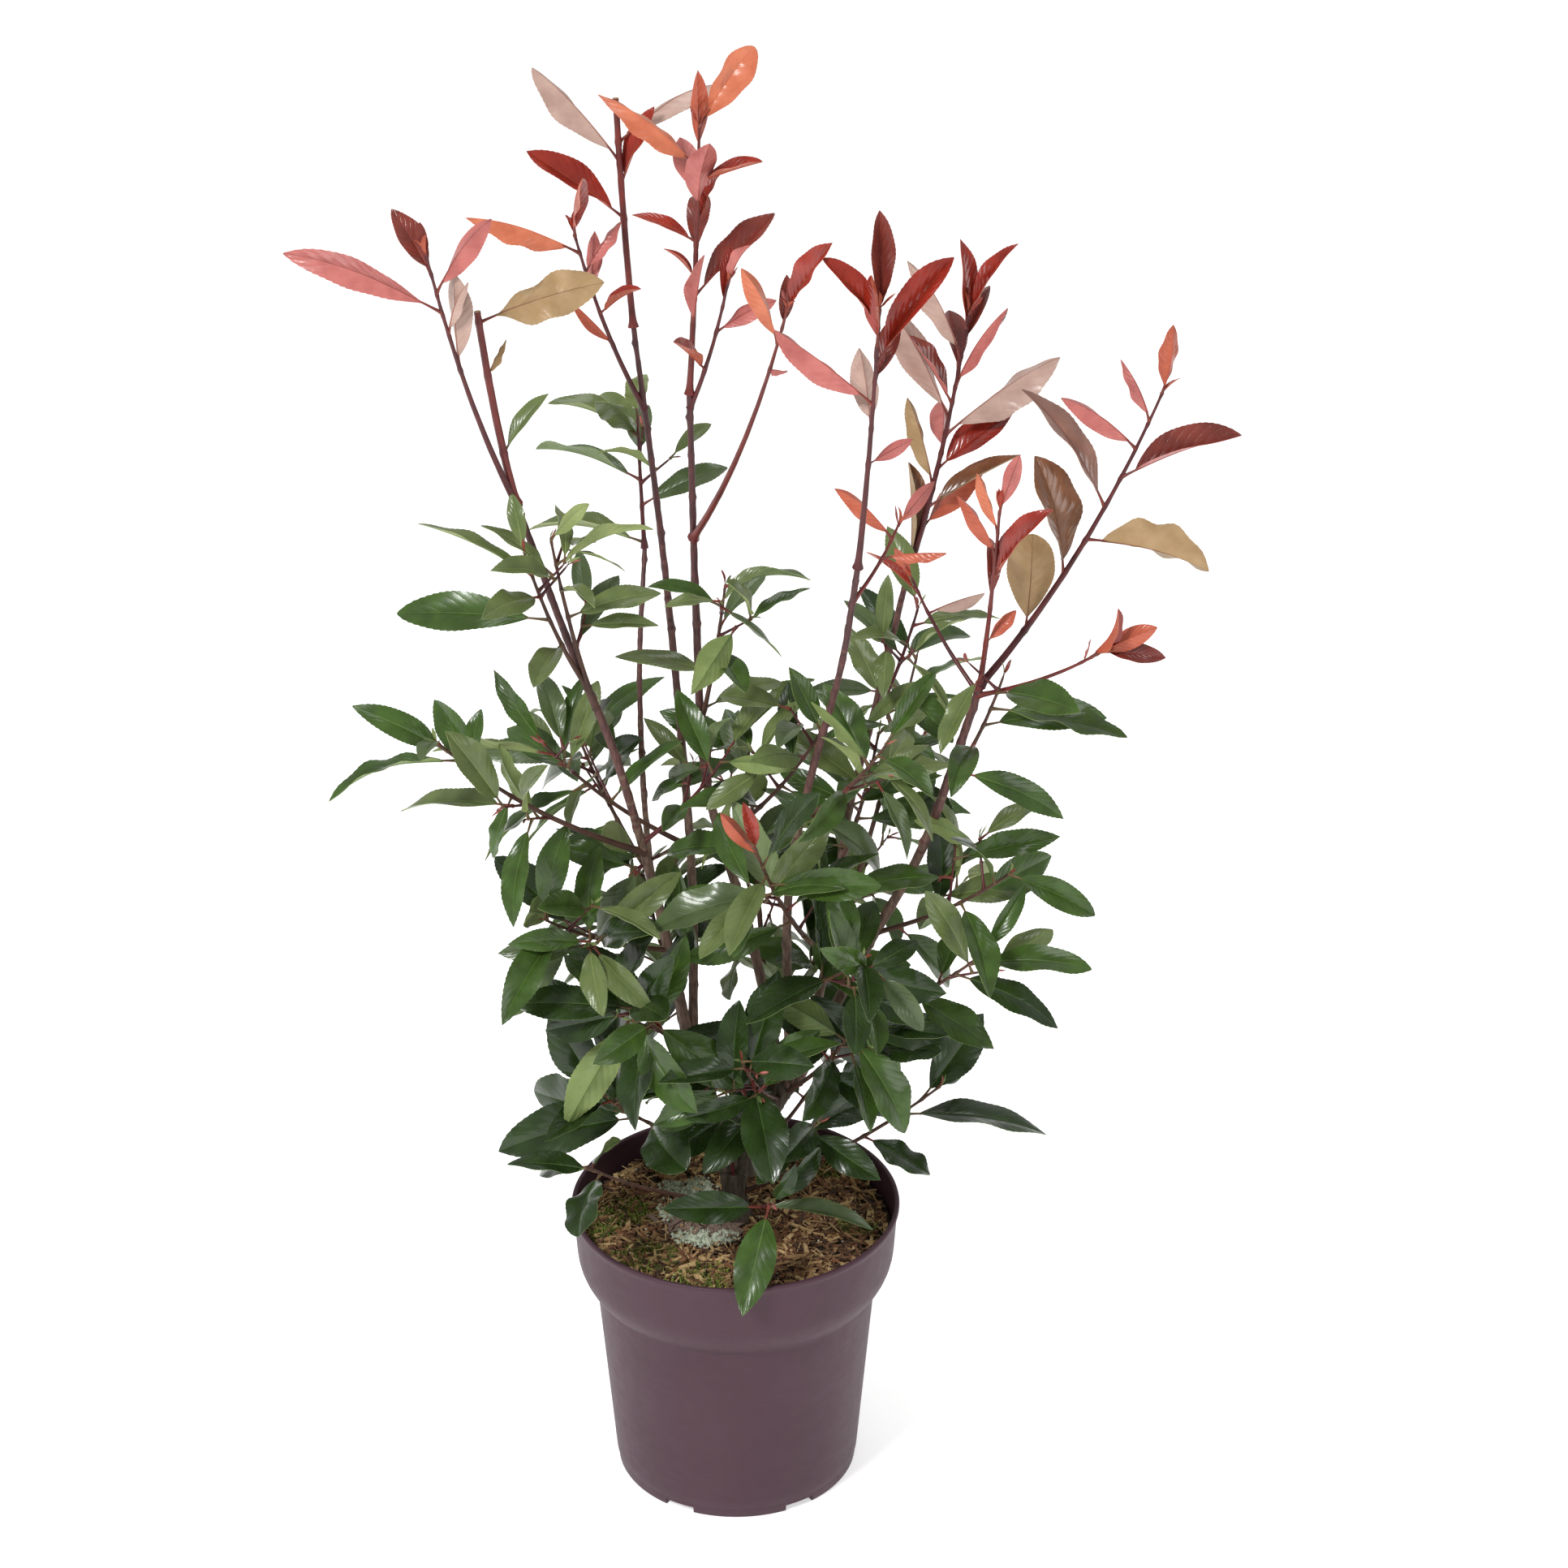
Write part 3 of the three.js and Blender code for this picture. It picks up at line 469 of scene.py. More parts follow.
def start_shoot(shoot):
    root = point_at_height(limb_paths[shoot["limb"]], shoot["height"])
    rise = Vector(shoot["tip"]) - root
    bend = root + Vector([a * b for a, b in zip(rise, STEM_BEND)])
    shoot["path"] = bent_path(root, bend, root + rise)
    own = (TWIG_ROOT_RADIUS + TWIG_GAIN * rise.length, TWIG_TIP_RADIUS, LAST_LEAF)
    shoot["thick"], shoot["thin"], shoot["last"] = CUT_BACK.get(shoot["name"], own)


shoots = [dict(zip(SHOOT_FIELDS, row)) for row in SHOOTS]
for seed, shoot in enumerate(shoots, 1):
    shoot["seed"] = seed
    start_shoot(shoot)
print("longest shoot", round(max(s["path"].length for s in shoots)), "mm")

# %% [markdown]
# ## Clear bodies
#
# Leaves share the light without passing through each other. The rule tries each leaf as a slim
# body, grown by a small gap, and looks whether it meets wood or another leaf. Blender's BVH trees
# answer that quickly. The full leaf shapes would give the same answer more slowly.

# %% Bodies that can meet
class Body:
    def __init__(self, owner, points, faces):
        self.owner = owner
        self.low = [min(p[i] for p in points) for i in range(3)]
        self.high = [max(p[i] for p in points) for i in range(3)]
        self.tree = BVHTree.FromPolygons(points, faces)

    def meets(self, other):
        for i in range(3):
            if self.low[i] > other.high[i] or other.low[i] > self.high[i]:
                return False
        return bool(self.tree.overlap(other.tree))


def ring_faces(rings, sides):
    """The four-cornered faces between rings of points that follow each other."""
    faces = []
    for k in range(rings - 1):
        for j in range(sides):
            a = k * sides + j
            b = k * sides + (j + 1) % sides
            faces.append([a, b, b + sides, a + sides])
    return faces


print(len(ring_faces(3, 6)), "faces between three rings of six")

# %% [markdown]
# ## Bodies of wood and of leaves
#
# A limb's body is a prism with six sides, or three for a thin twig. A leaf's body has a root point,
# two sections of two margins and a keel, and a tip point. Both can be grown by the gap.

# %% The body of a limb
GAP = 0.3
WOOD_SIDES = 6
WOOD_STEPS = 7
TWIG_SIDES = 3
STEM_STEPS = 5


def limb_body(owner, path, root, tip, sides=WOOD_SIDES, steps=WOOD_STEPS, flare=0):
    """A closed prism round a path, larger by the gap than the wood inside it."""
    points = []
    for k, (place, tangent, normal, binormal) in enumerate(frames_along(path, steps)):
        along = k / steps
        end = -GAP if k == 0 else GAP if k == steps else 0
        radius = lerp(root, tip, along) + flare * (1 - along) ** 3 + GAP
        for j in range(sides):
            angle = math.tau * j / sides
            out = normal * math.sin(angle) - binormal * math.cos(angle)
            points.append(place + tangent * end + out * radius)
    ends = [list(range(sides)), list(range(steps * sides, (steps + 1) * sides))]
    return Body(owner, points, ends + ring_faces(steps + 1, sides))


print("sides of wood and of twigs:", WOOD_SIDES, TWIG_SIDES)

# %% The body of a leaf
LEAF_KEEL = 1.3
LEAF_SINK = 0.5
LEAF_SHARES = (0, 0.36, 0.72, 1)
BLADE_SHARES = (0.22, 0.46, 0.74, 1)
WIDEST = 0.8
LEAF_FACES = [[0, 1, 2], [0, 2, 3], [0, 3, 1], [7, 5, 4], [7, 6, 5], [7, 4, 6]]
LEAF_FACES += [[1, 4, 5, 2], [2, 5, 6, 3], [3, 6, 4, 1]]


def half_width(width, u):
    return width / 2 * math.sin(math.pi * u**WIDEST) ** WIDEST


def leaf_body(owner, pose, shares=LEAF_SHARES, extra=0):
    """A slim leaf: a root point, two sections of keel and margins, and a tip point."""
    side = pose["face"].cross(pose["along"])
    ends = (0, len(shares) - 1)
    points = []
    for k, u in enumerate(shares):
        reach = u * pose["length"] + (extra if k in ends else 0) * (1 if k else -1)
        reach -= LEAF_SINK if u == 0 else 0
        sag = -pose["arch"] * pose["length"] * u * u
        middle = pose["root"] + pose["along"] * reach + pose["face"] * sag
        if k in ends:
            points.append(middle)
            continue
        half = half_width(pose["width"], u) + extra
        points.append(middle - pose["face"] * (LEAF_KEEL + extra))
        points.append(middle + side * half + pose["face"] * extra)
        points.append(middle - side * half + pose["face"] * extra)
    return Body(owner, points, LEAF_FACES)


print(len(LEAF_FACES), "faces on a leaf's body")

# %% [markdown]
# ## The rule of growth
#
# Leaves stand in a spiral, wide apart low on a shoot and crowded at its tip. Low leaves stand out,
# top leaves point along the shoot, and all turn their upper side to the sky, to the front and away
# from the middle. A leaf that would touch something is turned a little, or left out when no turn
# helps. A particle system would fill the crown too evenly and close its openings.

# %% Where a leaf stands
LEAN_SPREAD = 16
LEAF_SIZES = (0.86, 1.1)
SKY_LIGHT = Vector((0, -0.8, 0.8))
OUTWARD_LIGHT = 0.4
TURNS = (0, 30, -30, 60, -60)
UP = Vector((0, 0, 1))


def heading(degrees):
    """A level direction: 0 points to the right, 90 to the back."""
    angle = math.radians(degrees)
    return Vector((math.cos(angle), math.sin(angle), 0))


def across(vector, axis):
    """The vector, turned as little as possible so that it is square to the axis."""
    return (vector - axis * vector.dot(axis)).normalized()


def read_leaf(entry, kind, share, chance):
    """A leaf's heading, length factor and angle. A plain heading leaves two to chance."""
    if isinstance(entry, list):
        return entry
    lean = lerp(kind["low"], kind["top"], share) + chance.swing(LEAN_SPREAD)
    scale = lerp(1, kind["small"], share) * chance.between(*LEAF_SIZES)
    return entry, scale, lean


def leaf_poses(path, at, share, entry, kind, size, chance):
    compass, scale, lean = read_leaf(entry, kind, share, chance)
    tilt = UP.rotation_difference(path.at(1) - path.at(0))
    axis = path.tangent(at)
    root = path.at(at)
    outward = Vector((root.x, root.y, 0)).normalized() * OUTWARD_LIGHT
    light = (outward + SKY_LIGHT).normalized()
    radians = math.radians(lean)
    for turn in TURNS:
        out = across(tilt @ heading(compass + turn), axis)
        along = axis * math.cos(radians) + out * math.sin(radians)
        face = axis * math.sin(radians) - out * math.cos(radians)
        face = across(face.lerp(light, kind["light"]), along)
        pose = {"root": root, "along": along, "face": face, "length": size * scale}
        pose["width"] = size * scale * kind["width"]
        pose["arch"] = kind["arch"]
        yield pose


print("each leaf tries the turns", TURNS)

# %% [markdown]
# ## Room for wood and pot
#
# Wood and pot are there before the leaves, so they take their room first. The pot's body follows
# its outer wall, over the rim and a little way down inside. The soil's body is a low cone.

# %% Bodies of wood and pot
POT_WALL_LINE = [(84, 0), (85, 3), (97.6, 148), (100.6, 151), (106, 159), (110, 172), (112, 204)]
POT_WALL_LINE += [(113.6, 205.5), (113.6, 208), (112.6, 209), (109.5, 209), (108.5, 188)]
SOIL_LINE = [(108.2, 188), (70, 191), (34, SOIL_TOP), (0.1, SOIL_TOP)]
TURNED_SIDES = 32


def turned_body(owner, line):
    points = []
    for radius, height in line:
        for j in range(TURNED_SIDES):
            points.append(heading(360 * j / TURNED_SIDES) * radius + Vector((0, 0, height)))
    return Body(owner, points, ring_faces(len(line), TURNED_SIDES))


placed = [turned_body("pot", POT_WALL_LINE), turned_body("soil", SOIL_LINE)]
placed.append(limb_body("trunk", limb_paths["trunk"], TRUNK_ROOT, TRUNK_TIP, flare=TRUNK_FLARE))
for name, points, root, tip in LIMBS:
    placed.append(limb_body(name, limb_paths[name], root, tip))
for shoot in shoots:
    sides = WOOD_SIDES if shoot["name"] in CUT_BACK else TWIG_SIDES
    stem = (shoot["name"], shoot["path"], shoot["thick"], shoot["thin"])
    placed.append(limb_body(*stem, sides, STEM_STEPS))
print(len(placed), "bodies of wood, pot and soil")

# %% [markdown]
# ## Leaves along a shoot
#
# Two tests keep a leaf clear. Its whole body, with the gap, may not meet anything outside its own
# shoot. Its blade may not meet another blade of the same shoot, where the stalks all end in the
# same wood. The first pose that passes both is kept.

# %% Grow leaves on one stem
CROWDING = 0.7


def is_clear(shoot, body):
    return not any(body.meets(other) for other in placed if other.owner != shoot["name"])


def try_leaf(shoot, pose):
    whole = leaf_body(shoot["name"], pose, LEAF_SHARES, GAP)
    blade = leaf_body(shoot["name"], pose, BLADE_SHARES)
    if not is_clear(shoot, whole) or any(blade.meets(other) for other in shoot["blades"]):
        return False
    shoot["blades"].append(blade)
    shoot["grown"].append(pose)
    return True


def grow_leaves(shoot, path, entries, bare, last, size, chance, stage):
    kind = KINDS[shoot["kind"]]
    for i, entry in enumerate(entries):
        share = i / (len(entries) - 1) if len(entries) > 1 else 1
        at = lerp(bare, last, share**CROWDING)
        for pose in leaf_poses(path, at, share, entry, kind, size, chance):
            if try_leaf(shoot, pose):
                pose.update(shoot=shoot, number=i, share=share, stage=stage)
                break


for shoot in shoots:
    shoot.update(grown=[], blades=[], side_twigs=[], fine_twigs=[])
print("leaves to try:", sum(len(s["leaves"]) for s in shoots))

# %% [markdown]
# ## Side twigs
#
# The larger green shoots carry one or two side twigs with three leaves, each at a heading of its
# own. A twig that would meet other wood is left out. Once a shoot is grown, its leaves take their
# room.

# %% Grow every shoot
TWIG_SPAN = (0.5, 0.8)
TWIG_REACH = (34, 52)
TWIG_LEAVES = 3
TWIG_BARE = 0.5
TWIG_LEAF_SIZE = 0.9
TWIG_FIRST = 40
TWIG_LEAF_TURN = 60
TWIG_OFFSET = 67
TWIG_STRIDE = 160
TWIG_SPLAY = (0.75, 0.9)


def grow_side_twig(shoot, number, chance):
    at = lerp(*TWIG_SPAN, number / max(1, shoot["twigs"] - 1))
    compass = TWIG_FIRST + shoot["seed"] * TWIG_OFFSET + number * TWIG_STRIDE
    compass += chance.next() * TWIG_FIRST
    reach = chance.between(*TWIG_REACH)
    out = heading(compass) * TWIG_SPLAY[0] + shoot["path"].tangent(at) * TWIG_SPLAY[1]
    start = shoot["path"].at(at)
    twig = straight_path(start, start + out.normalized() * reach)
    body = limb_body(shoot["name"], twig, TWIG_ROOT_RADIUS, TWIG_TIP_RADIUS, TWIG_SIDES, 1)
    if is_clear(shoot, body):
        shoot["side_twigs"].append(twig)
        headings = spiral(compass + TWIG_LEAF_TURN, TWIG_LEAVES)
        size = shoot["size"] * TWIG_LEAF_SIZE
        grow_leaves(shoot, twig, headings, TWIG_BARE, LAST_LEAF, size, chance, "twig")


def grow_shoot(shoot):
    chance = Chance(shoot["seed"])
    stem = (shoot["path"], shoot["leaves"], shoot["bare"], shoot["last"])
    grow_leaves(shoot, *stem, shoot["size"], chance, "shoot")
    for number in range(shoot["twigs"]):
        grow_side_twig(shoot, number, chance)
    placed.extend(leaf_body(shoot["name"], pose) for pose in shoot["grown"])


for shoot in shoots:
    grow_shoot(shoot)
print(sum(len(s["grown"]) for s in shoots), "leaves on the CAD model's shoots")

# %% [markdown]
# ## Finer growth
#
# The solids hold only the main leaves. A living shoot also has small side twigs with a few lesser
# leaves. They follow the same rule and stay inside the box of their own mass, so the crown keeps
# its outline. Shoots near the soil get none, because the soil has to show.

# %% Fine twigs
FINE_ROOM = 6
FINE_SEED = 500
FINE_TRIES = ((260, 0), (474, 3), (660, 2), (2000, 0))
FINE_SPAN = (0.35, 0.9)
FINE_SPLAY = (0.8, 0.7)
FINE_REACH = (20, 38)
FINE_RADII = (0.9, 0.7)
FINE_SIZE = (0.72, 0.96)
FINE_LEAVES = 3
FINE_BARE = 0.55


def is_inside(point, box):
    low, high = box
    return all(low[i] - FINE_ROOM < point[i] < high[i] + FINE_ROOM for i in range(3))


def grow_fine_leaves(shoot, twig, box, chance):
    before = len(shoot["grown"])
    size = shoot["size"] * chance.between(*FINE_SIZE)
    headings = spiral(chance.compass(), FINE_LEAVES)
    grow_leaves(shoot, twig, headings, FINE_BARE, LAST_LEAF, size, chance, "fine")
    fresh = shoot["grown"][before:]
    kept = [p for p in fresh if is_inside(p["root"] + p["along"] * p["length"], box)]
    shoot["grown"][before:] = kept
    placed.extend(leaf_body(shoot["name"], pose) for pose in kept)
    return bool(kept)


def grow_fine_twig(shoot, box, chance):
    at = chance.between(*FINE_SPAN)
    out = heading(chance.compass()) * FINE_SPLAY[0] + shoot["path"].tangent(at) * FINE_SPLAY[1]
    start = shoot["path"].at(at)
    twig = straight_path(start, start + out.normalized() * chance.between(*FINE_REACH))
    body = limb_body(shoot["name"], twig, *FINE_RADII, TWIG_SIDES, 1)
    if not is_inside(twig.at(1), box) or not is_clear(shoot, body):
        return
    if grow_fine_leaves(shoot, twig, box, chance):
        shoot["fine_twigs"].append(twig)


for shoot in shoots:
    box = [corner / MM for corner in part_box(shoot["name"])]
    chance = Chance(shoot["seed"] + FINE_SEED)
    tries = next(count for limit, count in FINE_TRIES if shoot["height"] < limit)
    for i in range(tries if shoot["kind"] == "green" else 0):
        grow_fine_twig(shoot, box, chance)
print(sum(len(s["fine_twigs"]) for s in shoots), "fine twigs")
print(sum(len(s["grown"]) for s in shoots), "leaves in all")

# %% [markdown]
# ## Tip leaflets
#
# Every living shoot ends in a tuft of just opened leaflets. They are too small to be worth a test,
# and stand close round the tip. The cut-back shoots have none.

# %% Tip leaflets
TUFTS = {"flush": (3, 0.2, 0.3, 22), "bronze": (2, 0.12, 0.2, 18), "green": (2, 0.1, 0.17, 26)}
TUFT_SEED = 900
TUFT_SEED_STEP = 9
TUFT_PLACE = 0.99
TUFT_WIDTH = 0.26
TUFT_ARCH = 0.1


def grow_tuft(shoot, path, number):
    """A few leaflets at the end of a path, the later ones leaning further out."""
    count, small, large, lean = TUFTS[shoot["kind"]]
    chance = Chance(shoot["seed"] * TUFT_SEED_STEP + number + TUFT_SEED)
    axis = path.tangent(1)
    for i in range(count):
        out = across(heading(chance.compass()), axis)
        radians = math.radians(lean * (0.5 + i / count))
        along = axis * math.cos(radians) + out * math.sin(radians)
        length = shoot["size"] * chance.between(small, large)
        pose = {"root": path.at(TUFT_PLACE), "along": along, "face": across(axis - out, along)}
        pose.update(length=length, width=length * TUFT_WIDTH, arch=TUFT_ARCH)
        pose.update(shoot=shoot, number=i, share=1, stage="tuft")
        shoot["grown"].append(pose)


for shoot in shoots:
    if shoot["name"] not in CUT_BACK:
        grow_tuft(shoot, shoot["path"], 0)
    for i, twig in enumerate(shoot["side_twigs"] + shoot["fine_twigs"]):
        grow_tuft(shoot, twig, i + 1)
print(sum(p["stage"] == "tuft" for s in shoots for p in s["grown"]), "tip leaflets")

# %% [markdown]
# ## Joined meshes
#
# Hundreds of leaves as hundreds of objects would be slow to handle, so all leaves of one kind are
# joined, and each face says which finish it wears. The helper gathers plain number arrays and hands
# them to Blender at once, which is far quicker than adding faces one by one.

# %% Batches of shapes
class Batch:
    def __init__(self):
        self.points = []
        self.faces = []
        self.tints = []
        self.places = []
        self.count = 0

    def add(self, points, faces, tints, places=None):
        """One more shape. Places are each point's place across and along a leaf."""
        points = np.asarray(points, dtype=float)
        self.add_faces(faces, tints, self.count)
        self.points.append(points)
        self.places.append(np.zeros((len(points), 2)) if places is None else places)
        self.count += len(points)

    def add_faces(self, faces, tints, first):
        """Faces that count their points from this first one."""
        faces = np.asarray(faces)
        self.faces.append(faces + first)
        self.tints.append(np.broadcast_to(np.asarray(tints), (len(faces),)))

    def triangles(self):
        return sum(len(faces) * (faces.shape[1] - 2) for faces in self.faces)


print("a new batch has", Batch().triangles(), "triangles")

# %% [markdown]
# ## From arrays to an object
#
# Blender keeps a mesh as long lists: the places of the points, the corners of all faces one after
# the other, and where each face starts. Each object then says which body it rides on and which
# solids it replaces.

# %% Build a piece
finishes = []


def fill_mesh(mesh, batch):
    points = np.concatenate(batch.points) * MM
    corners = np.concatenate([faces.ravel() for faces in batch.faces])
    sizes = np.concatenate([np.full(len(faces), faces.shape[1]) for faces in batch.faces])
    starts = np.concatenate([[0], np.cumsum(sizes)[:-1]])
    mesh.vertices.add(len(points))
    mesh.vertices.foreach_set("co", points.ravel())
    mesh.loops.add(len(corners))
    mesh.loops.foreach_set("vertex_index", corners.astype(np.int32))
    mesh.polygons.add(len(sizes))
    mesh.polygons.foreach_set("loop_start", starts.astype(np.int32))
    return corners


def wear_finishes(mesh, batch):
    used, tints = np.unique(np.concatenate(batch.tints), return_inverse=True)
    for number in used:
        mesh.materials.append(finishes[number])
    mesh.polygons.foreach_set("material_index", tints.ravel().astype(np.int32))


def build_piece(name, batch, slot, replaced=(), crease=40):
    mesh = bpy.data.meshes.new(name)
    corners = fill_mesh(mesh, batch)
    wear_finishes(mesh, batch)
    mesh.update(calc_edges=True)
    places = mesh.uv_layers.new(name="places")
    places.data.foreach_set("uv", np.concatenate(batch.places)[corners].ravel())
    mesh.validate()
    mesh.shade_smooth()
    mesh.set_sharp_from_angle(angle=math.radians(crease))
    piece = bpy.data.objects.new(name, mesh)
    bpy.context.collection.objects.link(piece)
    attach(piece, "root")
    if replaced:
        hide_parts(*replaced)
    print(name, len(mesh.polygons), "faces,", batch.triangles(), "triangles")


print("ready to build pieces")

# %% [markdown]
# ## Finishes
#
# Every finish is a small node tree. A noise between two tones keeps a colour from looking flat, a
# second noise breaks up the gloss, and a bump gives the skin its grain. Colours that belong to a
# place, such as the coral back of one leaf, are not painted: each leaf is dealt its own finish.

# %% Colours and new finishes
DARK_LIMIT = 0.04045
DARK_SLOPE = 12.92
CURVE_LIFT = 0.055
CURVE_POWER = 2.4


def linear(hex_code):
    """A colour as Blender counts it, from six letters as a painter writes it."""
    values = [int(hex_code[i : i + 2], 16) / 255 for i in (0, 2, 4)]
    lifted = [((v + CURVE_LIFT) / (1 + CURVE_LIFT)) ** CURVE_POWER for v in values]
    return (*[v / DARK_SLOPE if v <= DARK_LIMIT else w for v, w in zip(values, lifted)], 1)


def give(node, entry, value):
    node.inputs[entry].default_value = value


def new_finish(name):
    """A new material, kept under the next number, with its node tree and its shader."""
    finish = bpy.data.materials.new(name)
    finish.use_nodes = True
    finishes.append(finish)
    return len(finishes) - 1, finish.node_tree, finish.node_tree.nodes["Principled BSDF"]


print("middle grey counts as", round(linear("808080")[0], 3))

# %% [markdown]
# ## Grains and tones
#
# A noise suits anything grown or moulded. Its scale is given as the width of one grain, and it may
# be drawn out along one direction, as bark is. A ramp turns it into two tones, and a map range into
# more or less gloss.

# %% Noise, tones and spread
def speckle(tree, size_mm, detail=3, stretch=(1, 1, 1)):
    """A noise whose grains are about this wide, in the object's own space."""
    spot = tree.nodes.new("ShaderNodeTexCoord")
    scaled = tree.nodes.new("ShaderNodeMapping")
    give(scaled, "Scale", stretch)
    grain = tree.nodes.new("ShaderNodeTexNoise")
    give(grain, "Scale", 1 / (size_mm * MM))
    give(grain, "Detail", detail)
    tree.links.new(spot.outputs["Object"], scaled.inputs["Vector"])
    tree.links.new(scaled.outputs["Vector"], grain.inputs["Vector"])
    return grain.outputs["Fac"]


def two_tones(tree, shader, value, tones, ends=(0.35, 0.65)):
    ramp = tree.nodes.new("ShaderNodeValToRGB")
    for element, end, tone in zip(ramp.color_ramp.elements, ends, tones):
        element.position = end
        element.color = linear(tone)
    tree.links.new(value, ramp.inputs["Fac"])
    tree.links.new(ramp.outputs["Color"], shader.inputs["Base Color"])


def spread(tree, value, low, high):
    ranged = tree.nodes.new("ShaderNodeMapRange")
    give(ranged, "To Min", low)
    give(ranged, "To Max", high)
    tree.links.new(value, ranged.inputs["Value"])
    return ranged.outputs["Result"]


print("tools for tones")

# %% [markdown]
# ## Relief and sums
#
# Fine relief, such as veins, is left to a bump, which tilts the light without moving a point. It
# goes to the clear coat too, or else a glossy leaf would shine as flat as glass. Math nodes build
# the height that the bump reads.

# %% Bump and sums
def raise_skin(tree, shader, value, depth_mm):
    bump = tree.nodes.new("ShaderNodeBump")
    give(bump, "Distance", depth_mm * MM)
    give(bump, "Strength", 1)
    tree.links.new(value, bump.inputs["Height"])
    tree.links.new(bump.outputs["Normal"], shader.inputs["Normal"])
    tree.links.new(bump.outputs["Normal"], shader.inputs["Coat Normal"])


def reckon(tree, operation, *values):
    """A math node. Each value is a plain number or another node's output."""
    node = tree.nodes.new("ShaderNodeMath")
    node.operation = operation
    for entry, value in zip(node.inputs, values):
        if isinstance(value, (int, float)):
            entry.default_value = value
        else:
            tree.links.new(value, entry)
    return node.outputs["Value"]


print("tools for relief")

# %% [markdown]
# ## Leaf skin
#
# A photinia leaf is glossy, with a row of slanting side veins. They are worked out from each
# point's place across and along its blade, which the mesh carries as a UV map. Lines that rise
# along the blade and fall away from the midrib give the slant, and a ping-pong between them gives
# soft ridges.

# %% Leaf skin
VEIN_PAIRS = 9
VEIN_SLANT = 2.3
VEIN_SHARPNESS = 0.5
BLOTCH = 14
SHEEN_GRAIN = 5
SHEEN_SPREAD = (0.07, 0.08)
PORE = 1.6
PORE_SHARE = 0.25
COAT_ROUGHNESS = 0.13
LEAF_SPECULAR = 0.3


def veins(tree):
    place = tree.nodes.new("ShaderNodeUVMap")
    place.uv_map = "places"
    parts = tree.nodes.new("ShaderNodeSeparateXYZ")
    tree.links.new(place.outputs["UV"], parts.inputs["Vector"])
    out = reckon(tree, "ABSOLUTE", parts.outputs["X"])
    rise = reckon(tree, "MULTIPLY", parts.outputs["Y"], VEIN_PAIRS)
    lines = reckon(tree, "MULTIPLY_ADD", out, -VEIN_SLANT, rise)
    near = reckon(tree, "PINGPONG", lines, 0.5)
    return reckon(tree, "POWER", reckon(tree, "MULTIPLY", near, 2), VEIN_SHARPNESS)


def leaf_skin(name, first, second, gloss, coat, vein_depth):
    number, tree, shader = new_finish(name)
    two_tones(tree, shader, speckle(tree, BLOTCH), (first, second))
    low, high = SHEEN_SPREAD
    rough = spread(tree, speckle(tree, SHEEN_GRAIN), gloss - low, gloss + high)
    tree.links.new(rough, shader.inputs["Roughness"])
    give(shader, "Coat Weight", coat)
    give(shader, "Coat Roughness", COAT_ROUGHNESS)
    give(shader, "Specular IOR Level", LEAF_SPECULAR)
    height = reckon(tree, "MULTIPLY_ADD", speckle(tree, PORE), PORE_SHARE, veins(tree))
    raise_skin(tree, shader, height, vein_depth)
    return number


print(VEIN_PAIRS, "pairs of veins")

# %% [markdown]
# ## Families of leaf colour
#
# A leaf wears three finishes: its upper side, its back, and the rib. Scarlet leaves have a coral
# back, coral ones a lighter one, maroon ones a pink, brown ones a khaki, and silver-brown ones a
# grey-pink one. Old leaves are deep green, mid green or olive, and some are a grey-green whose
# upper side carries a painted sheen, standing in for the sky's reflection. Backs are matt, and
# upper sides have a clear coat. A row gives two tones, the roughness and the coat.

# %% Upper sides
YOUNG_VEIN = 0.15
OLD_VEIN = 0.1
TOP_TONES = {
    "scarlet": ("9c2e1e", "842316", 0.22, 0.6),
    "coral": ("a23220", "8a2518", 0.24, 0.6),
    "maroon": ("7e3529", "692a23", 0.24, 0.6),
    "brown": ("84583c", "6e4831", 0.25, 0.5),
    "silver": ("9c7567", "896255", 0.22, 0.7),
    "deep": ("293e17", "1f3010", 0.28, 0.26),
    "mid": ("415c23", "34491b", 0.3, 0.22),
    # this grey-green is a painted sheen: a greyer colour that stands in for the sky's reflection on the leaf
    "waxy": ("54643f", "465531", 0.32, 0.25),
    "olive": ("667443", "58663a", 0.32, 0.25),
}
YOUNG = ("scarlet", "coral", "maroon", "brown", "silver")

tops = {}
for family, tones in TOP_TONES.items():
    depth = YOUNG_VEIN if family in YOUNG else OLD_VEIN
    tops[family] = leaf_skin("leaf_top_" + family, *tones, depth)
print(len(tops), "upper sides")

# %% Backs and ribs
BACK_VEIN = 0.2
BACK_TONES = {
    "scarlet": ("bc6148", "a84f38", 0.4, 0.2),
    "coral": ("cd7757", "bb6446", 0.4, 0.2),
    "maroon": ("c07069", "ad5f5a", 0.4, 0.2),
    "brown": ("ab8e68", "9c7f58", 0.45, 0.05),
    "silver": ("bda093", "ad8e82", 0.42, 0.15),
    "deep": ("6f7f4a", "627242", 0.5, 0.0),
    "mid": ("7f8f55", "72824c", 0.5, 0.0),
    "waxy": ("7f8f62", "728257", 0.5, 0.0),
    "olive": ("93a066", "86935c", 0.5, 0.0),
}
RIB_FINISH = (0.45, 0.1, 0.05)
RIB_TONES = {
    "scarlet": ("b0503a", "9c4431"),
    "coral": ("c46a48", "b35a3c"),
    "maroon": ("96463c", "853c35"),
    "brown": ("8a6248", "79533d"),
    "silver": ("9a6a5c", "885a4e"),
    "deep": ("4c6633", "40592b"),
    "mid": ("617c3f", "536d35"),
    "waxy": ("6c7c55", "5f6f4a"),
    "olive": ("84945a", "76864e"),
}

